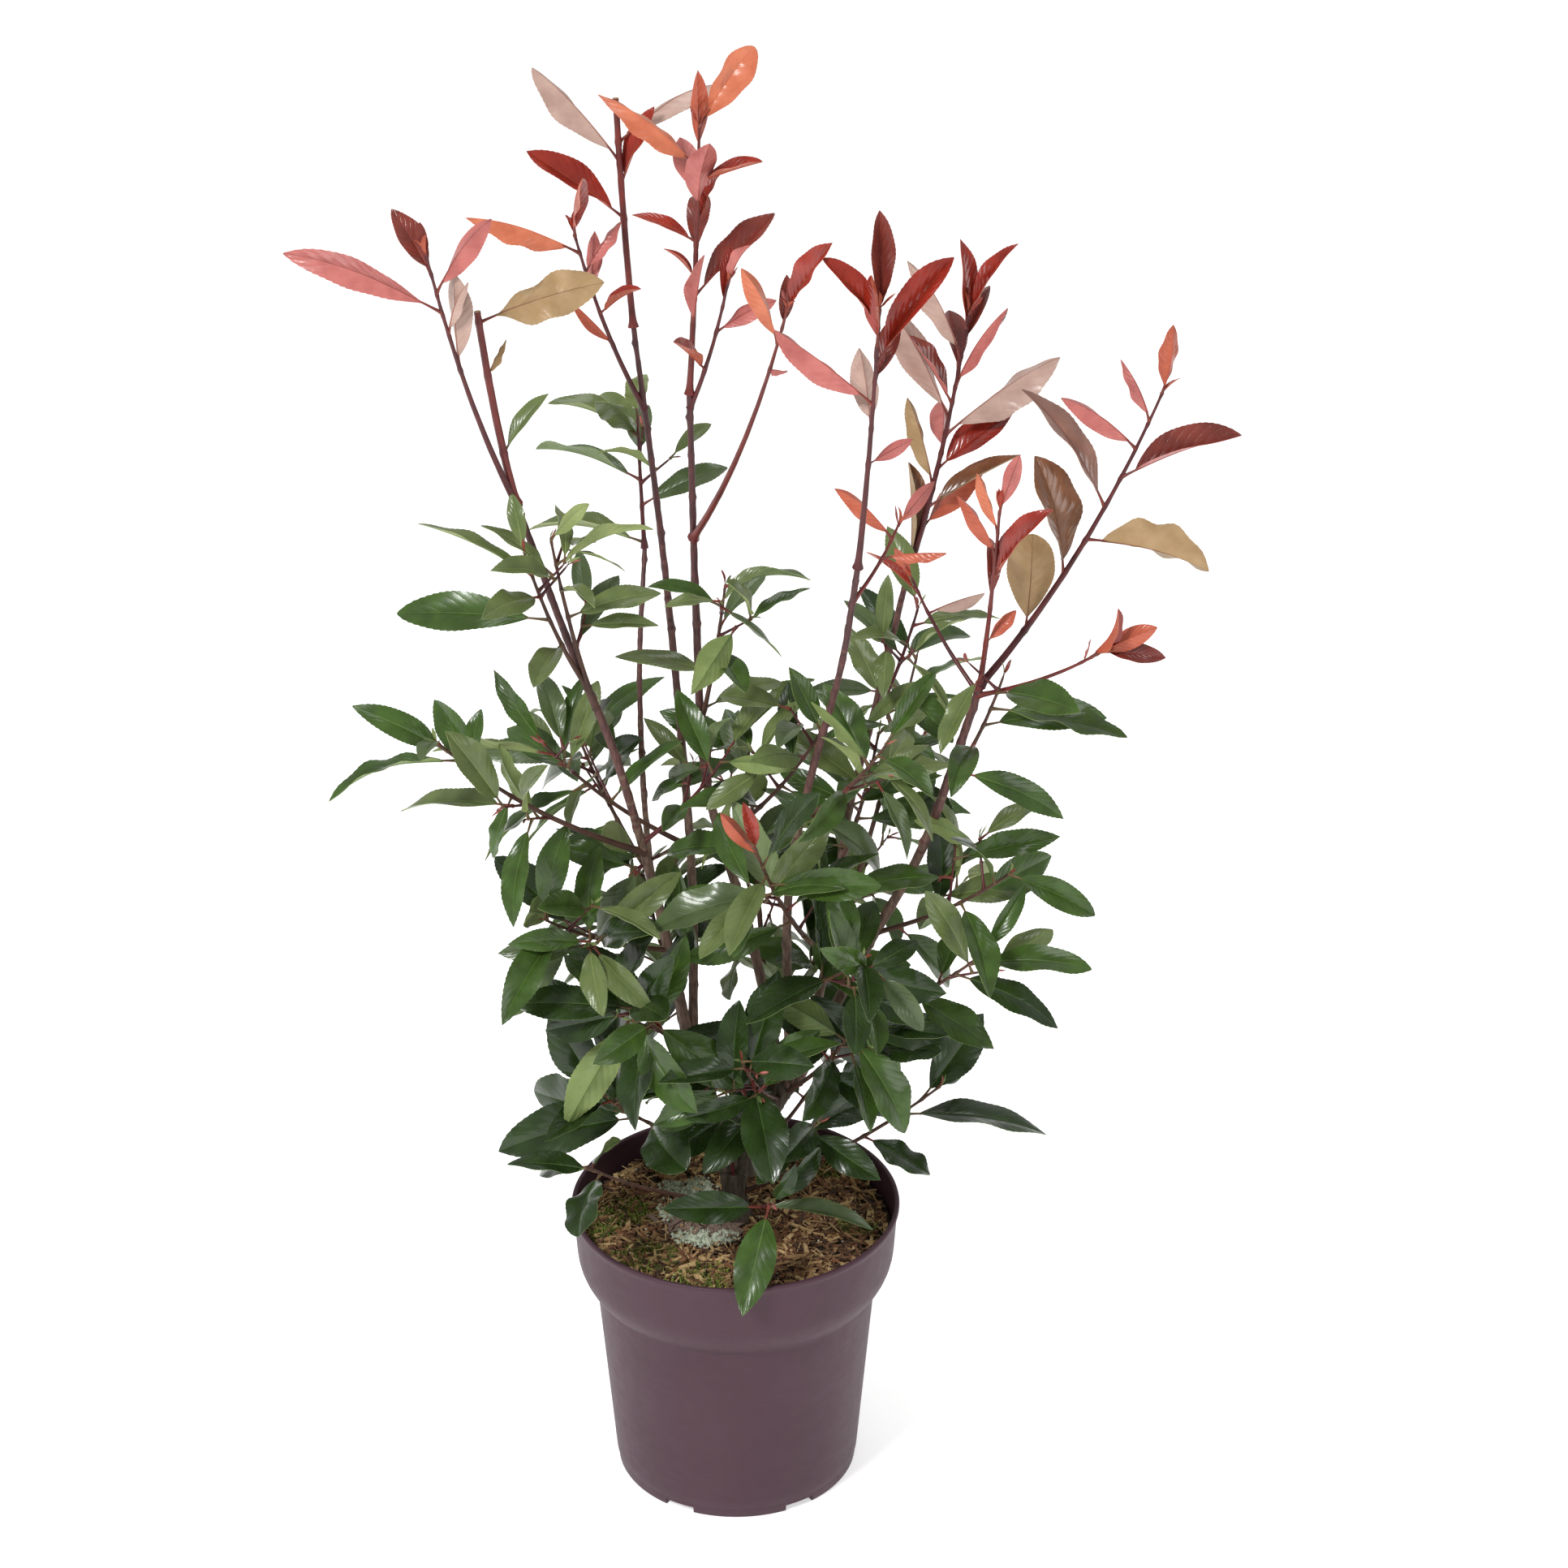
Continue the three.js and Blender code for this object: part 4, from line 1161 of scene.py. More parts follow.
backs = {}
for family, tones in BACK_TONES.items():
    backs[family] = leaf_skin("leaf_back_" + family, *tones, BACK_VEIN)
ribs = {}
for family, tones in RIB_TONES.items():
    ribs[family] = leaf_skin("leaf_rib_" + family, *tones, *RIB_FINISH)
print(len(finishes), "leaf finishes")

# %% [markdown]
# ## One leaf
#
# A photinia leaf is a leathery blade, folded a little along its midrib, with fine teeth that lean
# towards the tip. Here it is a thin closed shell: forty-one sections of seven points on either
# side, a groove over the midrib, and a rib under it. A flat picture on a plane would be lighter,
# but it would have no edge, no gloss line and no shadow of its own.

# %% Pattern of a blade
TEETH = 20
TOOTH_PEAK = 0.72
ACROSS = 7
TOP, BACK, RIB = 0, 1, 2
RIB_STRIPS = (2, 3)

steps_along = [0.0]
for tooth in range(TEETH):
    steps_along += [(tooth + TOOTH_PEAK) / TEETH, (tooth + 1) / TEETH]
ALONG = np.array(steps_along)
IS_PEAK = np.arange(len(ALONG)) % 2 == 1


def skin_faces(i, j, under):
    a = i * ACROSS + j
    b = a + ACROSS
    upper = [a, b, b + 1, a + 1]
    lower = [under + a, under + a + 1, under + b + 1, under + b]
    on_rib = j in RIB_STRIPS
    return [upper, lower], [RIB, RIB] if on_rib else [TOP, BACK]


def edge_faces(i, under):
    left = i * ACROSS
    right = left + ACROSS - 1
    return [
        [left, under + left, under + left + ACROSS, left + ACROSS],
        [right + ACROSS, under + right + ACROSS, under + right, right],
    ]


def end_faces(j, under):
    a = (len(ALONG) - 1) * ACROSS + j
    return [[j, j + 1, under + j + 1, under + j], [a, under + a, under + a + 1, a + 1]]


def blade_faces():
    under = len(ALONG) * ACROSS
    faces = []
    wears = []
    for i in range(len(ALONG) - 1):
        for j in range(ACROSS - 1):
            pair, worn = skin_faces(i, j, under)
            faces += pair
            wears += worn
        faces += edge_faces(i, under)
        wears += [BACK, BACK]
    for j in range(ACROSS - 1):
        faces += end_faces(j, under)
        wears += [BACK, BACK]
    return np.array(faces), np.array(wears)


BLADE_FACES, BLADE_WEARS = blade_faces()
print(len(BLADE_FACES), "faces in a leaf")

# %% [markdown]
# ## The middle line
#
# The blade starts where its stalk ends. Its middle line sags like the solid's leaf and droops more
# towards the tip, and the sections roll about it as they go. Turning both cross directions by a
# half turn shows the leaf's back.

# %% The middle line of a blade
BLADE_START = 0.13
DROOP_START = 0.45


def middle_line(pose, look):
    """Points of the middle line, with the directions to the side and up at each."""
    share = BLADE_START + (1 - BLADE_START) * ALONG
    length = pose["length"] * look["long"]
    root, along, face = [np.array(pose[key]) for key in ("root", "along", "face")]
    droop = pose["arch"] + look["curl"] * np.maximum(0, share - DROOP_START)
    middle = root + np.outer(share * length, along) - np.outer(droop * length * share * share, face)
    ahead = np.gradient(middle, axis=0)
    ahead /= np.linalg.norm(ahead, axis=1)[:, None]
    flat_side = np.cross(face, along)
    flat_up = np.cross(ahead, flat_side)
    twist = (look["twist"] * ALONG)[:, None]
    side = flat_side * np.cos(twist) + flat_up * np.sin(twist)
    up = flat_up * np.cos(twist) - flat_side * np.sin(twist)
    return middle, side * look["up"], up * look["up"]


print("the blade takes", 1 - BLADE_START, "of the leaf")

# %% [markdown]
# ## The margin
#
# The outline is a product of two powers, one that opens the blade at its foot and one that closes
# it at its tip. A smaller power makes that end blunter. Teeth add a little width at their peaks,
# take a little away in between, and fade out at both ends.

# %% The margin of a blade
TOOTH_NOTCH = -0.35
TOOTH_FOOT = (0.12, 0.15)
TOOTH_FADE = 0.08
LEAST_HALF = (0.3, 0.15)


def outline(w, low, high):
    """Half the blade's width at each share of its length, at most 1."""
    peak = low / (low + high)
    return (w / peak) ** low * ((1 - w) / (1 - peak)) ** high


def half_widths(pose, look):
    length = pose["length"] * look["long"]
    half = pose["width"] * look["slim"] / 2 * outline(ALONG, look["low"], look["high"])
    start, ramp = TOOTH_FOOT
    toothed = np.clip((ALONG - start) / ramp, 0, 1) * np.clip((1 - ALONG) / TOOTH_FADE, 0, 1)
    half = half + np.where(IS_PEAK, 1, TOOTH_NOTCH) * look["tooth"] * length * toothed
    least, taper = LEAST_HALF
    return np.maximum(half, least - taper * ALONG)


print(TEETH, "teeth on either side")

# %% [markdown]
# ## The cross section
#
# Seen from its tip, a leaf is a shallow V with bowed wings and a wavy edge. Each point's lift is
# the fold, less the bow, and a wave that grows towards the margin. A second, shorter wave keeps the
# halves from mirroring each other.

# %% Sections of a blade
RIB_WIDTH = 0.42
RIB_LIMIT = 0.4
RIB_TAPER = 1.15
SIDE_LINE = 0.55
FOLD_EASE = 0.35
SECOND_WAVE = (1.6, 2, 0.6)


def section_places(half):
    """Places across the blade, from -1 at one margin to 1 at the other."""
    rib = np.minimum(RIB_LIMIT, RIB_WIDTH * (RIB_TAPER - ALONG) / half)
    rest = 0 * ALONG
    return np.stack([rest - 1, rest - SIDE_LINE, -rib, rest, rib, rest + SIDE_LINE, rest + 1], axis=1)


def section_waves(look, places):
    waves, phases, share = SECOND_WAVE
    first = np.sin(math.tau * look["waves"] * ALONG + look["phase"])[:, None]
    second = np.cos(math.tau * waves * ALONG + look["phase"] * phases)[:, None]
    return first * np.sign(places) * look["wave"] + second * look["wave"] * share


def section_shape(look, half, places):
    """How far each point lies out from the middle line, and how far up."""
    away = np.abs(places)
    fold = (look["fold"] * (1 - FOLD_EASE * ALONG))[:, None]
    lift = away * np.sin(fold) - look["bow"] * away**2
    lift = (lift + section_waves(look, places) * away**2) * half[:, None]
    return places * np.cos(fold) * half[:, None], lift


print(ACROSS, "points across a blade")

# %% [markdown]
# ## The shell
#
# The two skins lie a third of a millimetre apart, closer on a tiny leaf. The upper one sinks into a
# groove along the midrib, and the lower one swells into the rib, which thins out towards the tip.

# %% Points of a blade
SHELL = 0.34
SHELL_FULL = 30
RIB_FULL = 40
GROOVE = np.array([0, 0, 0, 0.22, 0, 0, 0])
GROOVE_TAPER = 1.1
SWELL = np.array([0, 0, 0.12, 0.75, 0.12, 0, 0])


def blade_points(pose, look):
    """The points of the upper and the lower skin, and their places across and along."""
    middle, side, up = middle_line(pose, look)
    half = half_widths(pose, look)
    places = section_places(half)
    out, lift = section_shape(look, half, places)
    skin = middle[:, None] + side[:, None] * out[..., None] + up[:, None] * lift[..., None]
    length = pose["length"] * look["long"]
    thick = SHELL / 2 * min(1, length / SHELL_FULL)
    scale = min(1, length / RIB_FULL)
    groove = GROOVE * (GROOVE_TAPER - ALONG)[:, None] * scale
    swell = SWELL * (RIB_TAPER - ALONG)[:, None] * scale
    top = skin + up[:, None] * (thick - groove)[..., None]
    back = skin - up[:, None] * (thick + swell)[..., None]
    along = np.broadcast_to(ALONG[:, None], places.shape)
    spots = np.stack([places, along], axis=-1).reshape(-1, 2)
    return np.concatenate([top.reshape(-1, 3), back.reshape(-1, 3)]), np.concatenate([spots] * 2)


print(2 * len(ALONG) * ACROSS, "points in a leaf")

# %% [markdown]
# ## Who wears which colour
#
# Spring growth on one plant runs through all the stages at once. Each red leaf is given a stage in
# a list, one letter for each leaf of its shoot: r for scarlet, c for coral, m for maroon, b for
# brown, s for silver-brown and e for olive. A capital shows the glossy upper side, a small letter
# the dull back. The shoot called red_heart is green but for its two top leaves.

# %% Stages of the red leaves
STAGES = {
    "left_top": "Ebb",
    "left_flush": "ssmmMM",
    "back_left_flush": "RRss",
    "back_left_side": "rRmmcr",
    "centre_flush": "MMRMRRMmRcrMc",
    "centre_side": "RmRM",
    "slender_flush": "mcMR",
    "front_right_flush": "msmMRrRM",
    "front_right_twig": "rrm",
    "right_flush": "BrBbRmssMmMsMRR",
    "far_right_upright": "rMRrcm",
    "far_right_flush": "bBBSMmmr",
    "far_right_low": "mRrM",
    "right_inner": "sRr",
}
STAGE_FAMILY = dict(zip("rcmbse", (*YOUNG, "olive")))
LEAFLET_STAGES = "rRmR"
RED_TIPS = {("red_heart", 8): "r", ("red_heart", 9): "R"}
print("red leaves dealt by hand:", sum(map(len, STAGES.values())))

# %% [markdown]
# ## Greens dealt by chance
#
# The green leaves are dealt theirs by chance. Low ones are darker, high and fine ones lighter, and
# a few anywhere get the grey-green with a painted sheen. Now and then a leaf shows its pale back.
# The leaflets at the tips are maroon or olive.

# %% The family of each leaf
LIGHT_START = 254
LIGHT_SPAN = 500
LIGHT_CHANCE = 0.7
FINE_LIGHT = 0.25
GREENS = ((0.36, "deep"), (0.78, "mid"), (9, "olive"))
PAINTED_SHEEN_SHARE = 0.1
# share of green leaves that get the grey-green with the painted sheen
HIGH_CROWN = 450
BACK_SHARES = (0.045, 0.07)


def read_stage(letter):
    return STAGE_FAMILY[letter.lower()], letter.isupper()


def red_colour(pose, chance):
    if pose["stage"] == "shoot":
        return read_stage(STAGES[pose["shoot"]["name"]][pose["number"]])
    return read_stage(chance.pick(LEAFLET_STAGES))


def green_colour(pose, chance):
    height = pose["root"].z
    light = (height - LIGHT_START) / LIGHT_SPAN + chance.swing(LIGHT_CHANCE)
    if pose["stage"] == "fine":
        light += FINE_LIGHT
    family = next(name for limit, name in GREENS if light < limit)
    # about one green leaf in ten gets the grey-green with a painted sheen in place of its own green
    if chance.next() < PAINTED_SHEEN_SHARE:
        family = "waxy"
    return family, chance.next() > BACK_SHARES[height > HIGH_CROWN]


def colour_of(pose, chance):
    """The leaf's family, and whether its upper side is on the lit side."""
    name = pose["shoot"]["name"]
    if pose["shoot"]["kind"] != "green":
        return red_colour(pose, chance)
    if pose["stage"] == "tuft":
        return chance.pick(("maroon", "olive")), chance.next() < 0.5
    if pose["stage"] == "shoot" and (name, pose["number"]) in RED_TIPS:
        return read_stage(RED_TIPS[name, pose["number"]])
    return green_colour(pose, chance)


print("greens:", ", ".join(name for limit, name in GREENS))

# %% [markdown]
# ## The look of each leaf
#
# No two leaves are alike, and the ranges say how far each may go: fold and twist in degrees, slim
# as a share of the usual width, bow across the blade, curl of the tip, depth and number of waves,
# their phase, and the outline's two powers. Half of the young leaves are folded steeply, as they
# come out of the bud. High green leaves are slimmer and droop more than low ones, and in between
# the ranges are mixed.

# %% Ranges of looks
YOUNG_LOOK = {
    "fold": (24, 46), "slim": (0.84, 1.12), "bow": (0.04, 0.16), "twist": (-30, 30),
    "curl": (-0.04, 0.3), "wave": (0.02, 0.1), "waves": (1.6, 3.2), "phase": (0, 360),
    "low": (0.8, 1.0), "high": (0.76, 0.95),
}
LOW_GREEN_LOOK = {
    "fold": (14, 44), "slim": (0.88, 1.14), "bow": (0.06, 0.2), "twist": (-38, 38),
    "curl": (0.03, 0.26), "wave": (0.03, 0.13), "waves": (1.6, 3.2), "phase": (0, 360),
    "low": (0.78, 1.0), "high": (0.74, 1.0),
}
HIGH_GREEN_LOOK = LOW_GREEN_LOOK | {"slim": (0.68, 0.94), "curl": (0.03, 0.38)}
STEEP_SHARE = 0.5
STEEP_FOLD = (50, 64)
YOUNG_TOOTH = 0.0035
OLD_TOOTH = 0.0045
OLD_LONG = 1.04
CROWN_START = 364
CROWN_SPAN = 160


def crown_share(pose):
    return min(1, max(0, (pose["root"].z - CROWN_START) / CROWN_SPAN))


def ranges_of(pose, young, chance):
    if young:
        return YOUNG_LOOK | ({"fold": STEEP_FOLD} if chance.next() < STEEP_SHARE else {})
    mixed = {}
    for key, low in LOW_GREEN_LOOK.items():
        mixed[key] = [lerp(a, b, crown_share(pose)) for a, b in zip(low, HIGH_GREEN_LOOK[key])]
    return mixed


def look_of(pose, family, shown, chance):
    young = family in YOUNG
    look = {key: chance.between(*ends) for key, ends in ranges_of(pose, young, chance).items()}
    for key in ("fold", "twist", "phase"):
        look[key] = math.radians(look[key])
    look["up"] = 1 if shown else -1
    look["tone"] = family
    look["long"] = 1 if young or pose["stage"] == "tuft" else OLD_LONG
    look["tooth"] = YOUNG_TOOTH if young else OLD_TOOTH
    return look


print("values of a look:", ", ".join(YOUNG_LOOK))

# %% [markdown]
# ## Leaves that stand out
#
# A few leaves are what one remembers of this plant: the long one at the far left, the round ones
# over the rim, the brown ones at the right. They get values of their own, by shoot and number, with
# angles in radians. Long is a length factor, tone another family's colours, and aim the direction
# that the upper side is turned to.

# %% Own looks in the crown
OWN_LOOKS = {
    "left_flush": {
        1: {"slim": 0.8, "fold": 0.9},
        2: {"slim": 0.62, "curl": 0.22, "fold": 0.5, "twist": -0.3},
    },
    "left_top": {2: {"slim": 1.0, "fold": 0.5, "twist": 1.2, "curl": 0.0, "wave": 0.35}},
    "centre_flush": {
        9: {"slim": 0.95, "fold": 0.6},
        12: {"slim": 1.45, "fold": 0.25, "twist": 0.1, "curl": 0.05, "high": 0.55},
    },
    "back_left_flush": {
        2: {"slim": 1.05, "fold": 0.95, "curl": 0.1},
        3: {"slim": 0.8, "curl": 0.4, "fold": 0.5},
    },
    "right_flush": {
        4: {"slim": 1.2, "fold": 0.5, "curl": 0.1},
        6: {"slim": 1.2, "fold": 0.95, "curl": 0.1},
    },
    "far_right_flush": {
        0: {"slim": 1.45, "fold": 0.2, "high": 0.6, "aim": (0.3, -0.9, 0.3)},
        1: {"slim": 1.4, "fold": 0.55},
        2: {"slim": 1.6, "fold": 0.7, "curl": 0.1, "long": 0.96, "aim": (0, 0.75, 0.65)},
    },
    "right_high_leaves": {
        0: {"fold": 0.45, "tone": "mid"},
        2: {"fold": 0.55, "curl": 0.25, "tone": "mid"},
        3: {"tone": "mid"},
        4: {"fold": 0.5, "tone": "mid"},
    },
    "left_outer_leaves": {
        0: {"fold": 0.5, "curl": 0.2, "tone": "mid"},
        2: {"slim": 0.78, "fold": 0.55, "curl": 0.15, "tone": "mid"},
    },
    "thin_back_top": {
        0: {"slim": 1.2, "fold": 0.65, "curl": 0.25},
        2: {"slim": 1.15, "fold": 0.6, "curl": 0.2},
        4: {"slim": 1.1, "fold": 0.7, "curl": 0.25},
    },
    "red_heart": {
        8: {"slim": 0.85, "fold": 0.9, "long": 1.15, "aim": (0.5, -0.8, 0.2)},
        9: {"slim": 0.8, "fold": 0.8, "aim": (0.3, -1, 0.2)},
    },
}
print("own looks in the crown:", sum(map(len, OWN_LOOKS.values())))

# %% Own looks near the pot
OWN_LOOKS |= {
    "soil_rosette": {
        # this leaf wears the grey-green with a painted sheen
        0: {"slim": 0.6, "fold": 0.9, "curl": 0.35, "aim": (0, -0.3, 1), "tone": "waxy"},
        1: {"slim": 0.85, "fold": 0.3, "twist": 0.0, "curl": 0.1},
        3: {"slim": 1, "fold": 0.2, "curl": 0, "long": 1.16, "aim": (0, -0.7, 0.7), "tone": "mid"},
    },
    "low_left_skirt": {0: {"slim": 1.45, "fold": 0.25, "high": 0.6, "twist": 0.1}},
    "low_right_skirt": {0: {"slim": 1.4, "fold": 0.25, "high": 0.6, "wave": 0.12}},
    "left_skirt": {
        0: {"slim": 1.55, "fold": 0.5, "high": 0.6, "wave": 0.1},
        2: {"slim": 1.25, "fold": 0.3},
        4: {"slim": 1.2, "fold": 0.35, "high": 0.65},
    },
    "right_rosette": {5: {"slim": 0.95, "fold": 0.4, "long": 0.85}},
}


def own_look(pose):
    if pose["stage"] != "shoot":
        return {}
    return OWN_LOOKS.get(pose["shoot"]["name"], {}).get(pose["number"], {})


print("own looks in all:", sum(map(len, OWN_LOOKS.values())))

# %% [markdown]
# ## Turning to the light
#
# High green leaves lie flatter than low ones, which face the front, and each rolls a little about
# its own length. The roll makes a crown sparkle: of two neighbours one catches the lamp, and the
# other doesn't.

# %% Turn leaves to the light
ZENITH = Vector((0, -0.1, 1))
FLATTEN = 0.5
ROLL = 76


def turn_to_sky(pose, chance):
    face = pose["face"].lerp(ZENITH, FLATTEN * crown_share(pose))
    roll = Quaternion(pose["along"], math.radians(chance.swing(ROLL)))
    pose["face"] = across(roll @ face, pose["along"])


def turn_to_aim(pose, look):
    pose["face"] = across(Vector(look["aim"]), pose["along"])
    look["twist"] = 0


print("leaves roll within", ROLL, "degrees")

# %% [markdown]
# ## Tubes and stalks
#
# Stalks, twigs and limbs are all tubes: a ring of points at each frame of a path, faces between the
# rings, and a fan at either end. Each point of a ring may have its own radius, which leaves room
# for knots and bark. The stalk is the simplest, thick at the twig and thin where the blade begins.

# %% Closed tubes
def fan_faces(start, sides, centre, outward):
    """The triangles that close a ring over its centre point."""
    ring = [start + j for j in range(sides)]
    pairs = zip(ring, ring[1:] + ring[:1])
    return [[a, b, centre] if outward else [b, a, centre] for a, b in pairs]


def tube_points(rows, radii):
    angles = np.arange(len(radii[0])) * math.tau / len(radii[0])
    rings = []
    for (place, tangent, normal, binormal), radius in zip(rows, radii):
        out = np.outer(np.cos(angles), normal) + np.outer(np.sin(angles), binormal)
        rings.append(np.array(place) + out * np.asarray(radius)[:, None])
    return np.concatenate(rings + [[rows[0][0]], [rows[-1][0]]])


def add_tube(batch, rows, radii, tints, end_tint=None):
    """A closed tube with a tint for each ring. A cut end has a tint of its own."""
    sides = len(radii[0])
    count = len(rows) * sides
    start = batch.count
    walls = np.repeat(tints[:-1], sides)
    batch.add(tube_points(rows, radii), ring_faces(len(rows), sides), walls)
    foot = fan_faces(0, sides, count, False)
    tip = fan_faces(count - sides, sides, count + 1, True)
    last = tints[-1] if end_tint is None else end_tint
    batch.add_faces(foot + tip, [tints[0]] * sides + [last] * sides, start)


print(len(fan_faces(0, 6, 6, True)), "triangles close six sides")

# %% Leaf stalks
STALK_SIDES = 6
STALK_STEPS = 5
STALK_REACH = 1.35
STALK_RADIUS = 0.95
STALK_FULL = 45
STALK_TAPER = 0.3
STALK_FOOT = 0.6
STALK_LEAST = 0.3
STALK_END = 0.5
stalks = Batch()
stalk_red = leaf_skin("stalk_red", "7c382d", "642c26", 0.42, 0.1, 0.05)
stalk_green = leaf_skin("stalk_green", "6c5438", "59492f", 0.45, 0.1, 0.05)


def grow_stalk(pose, tint):
    length = pose["length"]
    side = pose["face"].cross(pose["along"])
    rows = []
    radii = []
    for k in range(STALK_STEPS + 1):
        share = k / STALK_STEPS
        u = BLADE_START * STALK_REACH * share
        sag = -pose["arch"] * length * u * u
        place = pose["root"] + pose["along"] * (u * length) + pose["face"] * sag
        rows.append((place, pose["along"], side, pose["face"]))
        thick = STALK_RADIUS * min(1, length / STALK_FULL)
        thick *= 1 - STALK_TAPER * share + STALK_FOOT * (1 - share) ** 4
        thick *= 1 if k < STALK_STEPS else STALK_END
        radii.append(np.full(STALK_SIDES, max(STALK_LEAST, thick)))
    add_tube(stalks, rows, radii, [tint] * len(rows))


print("stalks of", STALK_SIDES, "sides")

# %% [markdown]
# ## Red, bronze and green leaves
#
# Now every leaf can be made. Each draws its numbers after the one before: its family, its look, its
# roll, and at last its stalk's colour. A mesh that nears its limit of triangles is closed, and the
# next shoot starts a new one.

# %% Grow one leaf
BLADE_SEED = 2000
GREEN_STALKS = 0.75
STALK_GREENS = ("deep", "mid", "olive")


def grow_blade(batch, pose, chance):
    family, shown = colour_of(pose, chance)
    look = look_of(pose, family, shown, chance) | own_look(pose)
    if pose["shoot"]["kind"] == "green":
        turn_to_sky(pose, chance)
    if "aim" in look:
        turn_to_aim(pose, look)
    points, places = blade_points(pose, look)
    deal = np.array([tops[look["tone"]], backs[look["tone"]], ribs[look["tone"]]])
    batch.add(points, BLADE_FACES, deal[BLADE_WEARS], places)
    is_green = family in STALK_GREENS and chance.next() < GREEN_STALKS
    grow_stalk(pose, stalk_green if is_green else stalk_red)


print("leaves to dress:", sum(len(s["grown"]) for s in shoots))

# %% Grow all leaves
PIECE_LIMIT = 190000
ROOM_FOR = 20
BLADE_CREASE = 50
TUBE_CREASE = 60
LEAF_KINDS = {"flush": "red_leaves", "bronze": "bronze_leaves", "green": "green_leaves"}


def grow_blades(kind_name):
    """Blades of one kind, in one or more batches with the names of their shoots."""
    groups = [(Batch(), [])]
    for shoot in shoots:
        if shoot["kind"] != kind_name:
            continue
        if groups[-1][0].triangles() > PIECE_LIMIT - 2 * ROOM_FOR * len(BLADE_FACES):
            groups.append((Batch(), []))
        batch, names = groups[-1]
        names.append(shoot["name"])
        chance = Chance(shoot["seed"] + BLADE_SEED)
        for pose in shoot["grown"]:
            grow_blade(batch, pose, chance)
    return groups


for kind_name, slot in LEAF_KINDS.items():
    for number, (batch, names) in enumerate(grow_blades(kind_name), 1):
        build_piece(f"{slot}_{number}", batch, slot, names, crease=BLADE_CREASE)
build_piece("leaf_stalks", stalks, "young_bark", crease=TUBE_CREASE)

# %% [markdown]
# ## Young shoots and twigs
#
# The youngest wood is thin, maroon and smooth, with a small swelling where each leaf is joined.
# Each shoot is one tapered tube, and the two cut-back ones end in a flat cut of pale wood.
# Blender's curve bevel would give a tube too, but without the swellings and the flared root.

# %% Young bark and cut wood
shoot_maroon = leaf_skin("shoot_maroon", "5c2727", "451b1e", 0.4, 0.15, 0.08)
shoot_crimson = leaf_skin("shoot_crimson", "74302a", "5c2422", 0.4, 0.15, 0.08)
shoot_brown = leaf_skin("shoot_brown", "5c3f33", "483028", 0.5, 0.05, 0.1)
cut_wood = leaf_skin("cut_wood", "b79d7c", "8f7357", 0.7, 0.0, 0.15)
BROWN_FROM = 1.7


def young_tint(shoot):
    """Every other red shoot is crimson. Thick green shoots are brown, and all others maroon."""
    if shoot["kind"] == "green":
        return shoot_brown if shoot["thick"] > BROWN_FROM else shoot_maroon
    return shoot_crimson if shoot["seed"] % 2 else shoot_maroon


print("tone of the first shoot:", finishes[young_tint(shoots[0])].name)

# %% Where the knots are
KNOT_STEPS = 60


def knots_of(shoot):
    path = shoot["path"]
    knots = []
    for pose in shoot["grown"]:
        if pose["stage"] == "shoot":
            gaps = [(path.at(k / KNOT_STEPS) - pose["root"]).length for k in range(KNOT_STEPS + 1)]
            nearest = gaps.index(min(gaps)) / KNOT_STEPS
            knots.append(float(np.interp(nearest, LENGTH_GRID, path.lengths)))
    return knots


print("first shoot's knots:", [round(knot) for knot in knots_of(shoots[0])])

# %% Young wood
TUBE_SPACING = 3.5
TUBE_LEAST_STEPS = 4
SHOOT_SIDES = 9
FOOT_FLARE = 0.7
FOOT_LENGTH = 3
KNOT_RISE = 0.42
KNOT_LENGTH = 1.7
WOOD_GRAIN = 0.35
UNEVEN = 0.05
LOBES = 3
LOBE_TURN = 0.2
ROUNDED_TIP = 0.55
young_wood = Batch()


def stem_radius(distance, radius, foot, knots):
    radius += foot * FOOT_FLARE * math.exp(-distance / FOOT_LENGTH)
    for knot in knots:
        radius += KNOT_RISE * math.exp(-(((distance - knot) / KNOT_LENGTH) ** 2))
    return radius


def grow_stem(path, thick, thin, knots, tint, seed, end_tint=None):
    steps = max(TUBE_LEAST_STEPS, round(path.length / TUBE_SPACING))
    rows = frames_along(path, steps)
    angles = np.arange(SHOOT_SIDES) * math.tau / SHOOT_SIDES
    radii = []
    for k, row in enumerate(rows):
        distance = path.length * k / steps
        radius = stem_radius(distance, lerp(thick, thin, k / steps), thick, knots)
        rough = noise.noise(row[0] * WOOD_GRAIN + Vector((seed, 0, 0)))
        lobes = np.sin(angles * LOBES + seed + distance * LOBE_TURN)
        radii.append(radius * (1 + UNEVEN * rough) + UNEVEN * lobes)
    if end_tint is None:
        radii[-1] = radii[-1] * ROUNDED_TIP
    add_tube(young_wood, rows, radii, [tint] * len(rows), end_tint)


print("a foot of 2 mm flares to", stem_radius(0, 2, 2, []))

# %% Grow shoots and twigs
TWIG_RADII = (1.0, 0.65)

for shoot in shoots:
    end = cut_wood if shoot["name"] in CUT_BACK else None
    stem = (shoot["path"], shoot["thick"], shoot["thin"], knots_of(shoot))
    grow_stem(*stem, young_tint(shoot), shoot["seed"], end)
    for twig in shoot["side_twigs"] + shoot["fine_twigs"]:
        grow_stem(twig, *TWIG_RADII, [], shoot_maroon, shoot["seed"])
build_piece("young_shoots", young_wood, "young_bark", crease=TUBE_CREASE)

# %% [markdown]
# ## Bark
#
# Old photinia wood is grey-brown and finely fissured. Upwards it turns taupe, then purple-brown,
# then maroon. The finish stretches its noise upwards, so that the grain runs up the wood. Where two
# tones meet, chance mixes them ring by ring, because real bark changes in patches.

# %% Bark finishes
BARK_DETAIL = 6
BARK_STRETCH = (1, 1, 0.22)
BARK_ENDS = (0.38, 0.62)
BARK_GLOSS_GRAIN = 3
BARK_GLOSS_SPREAD = (0.08, 0.1)


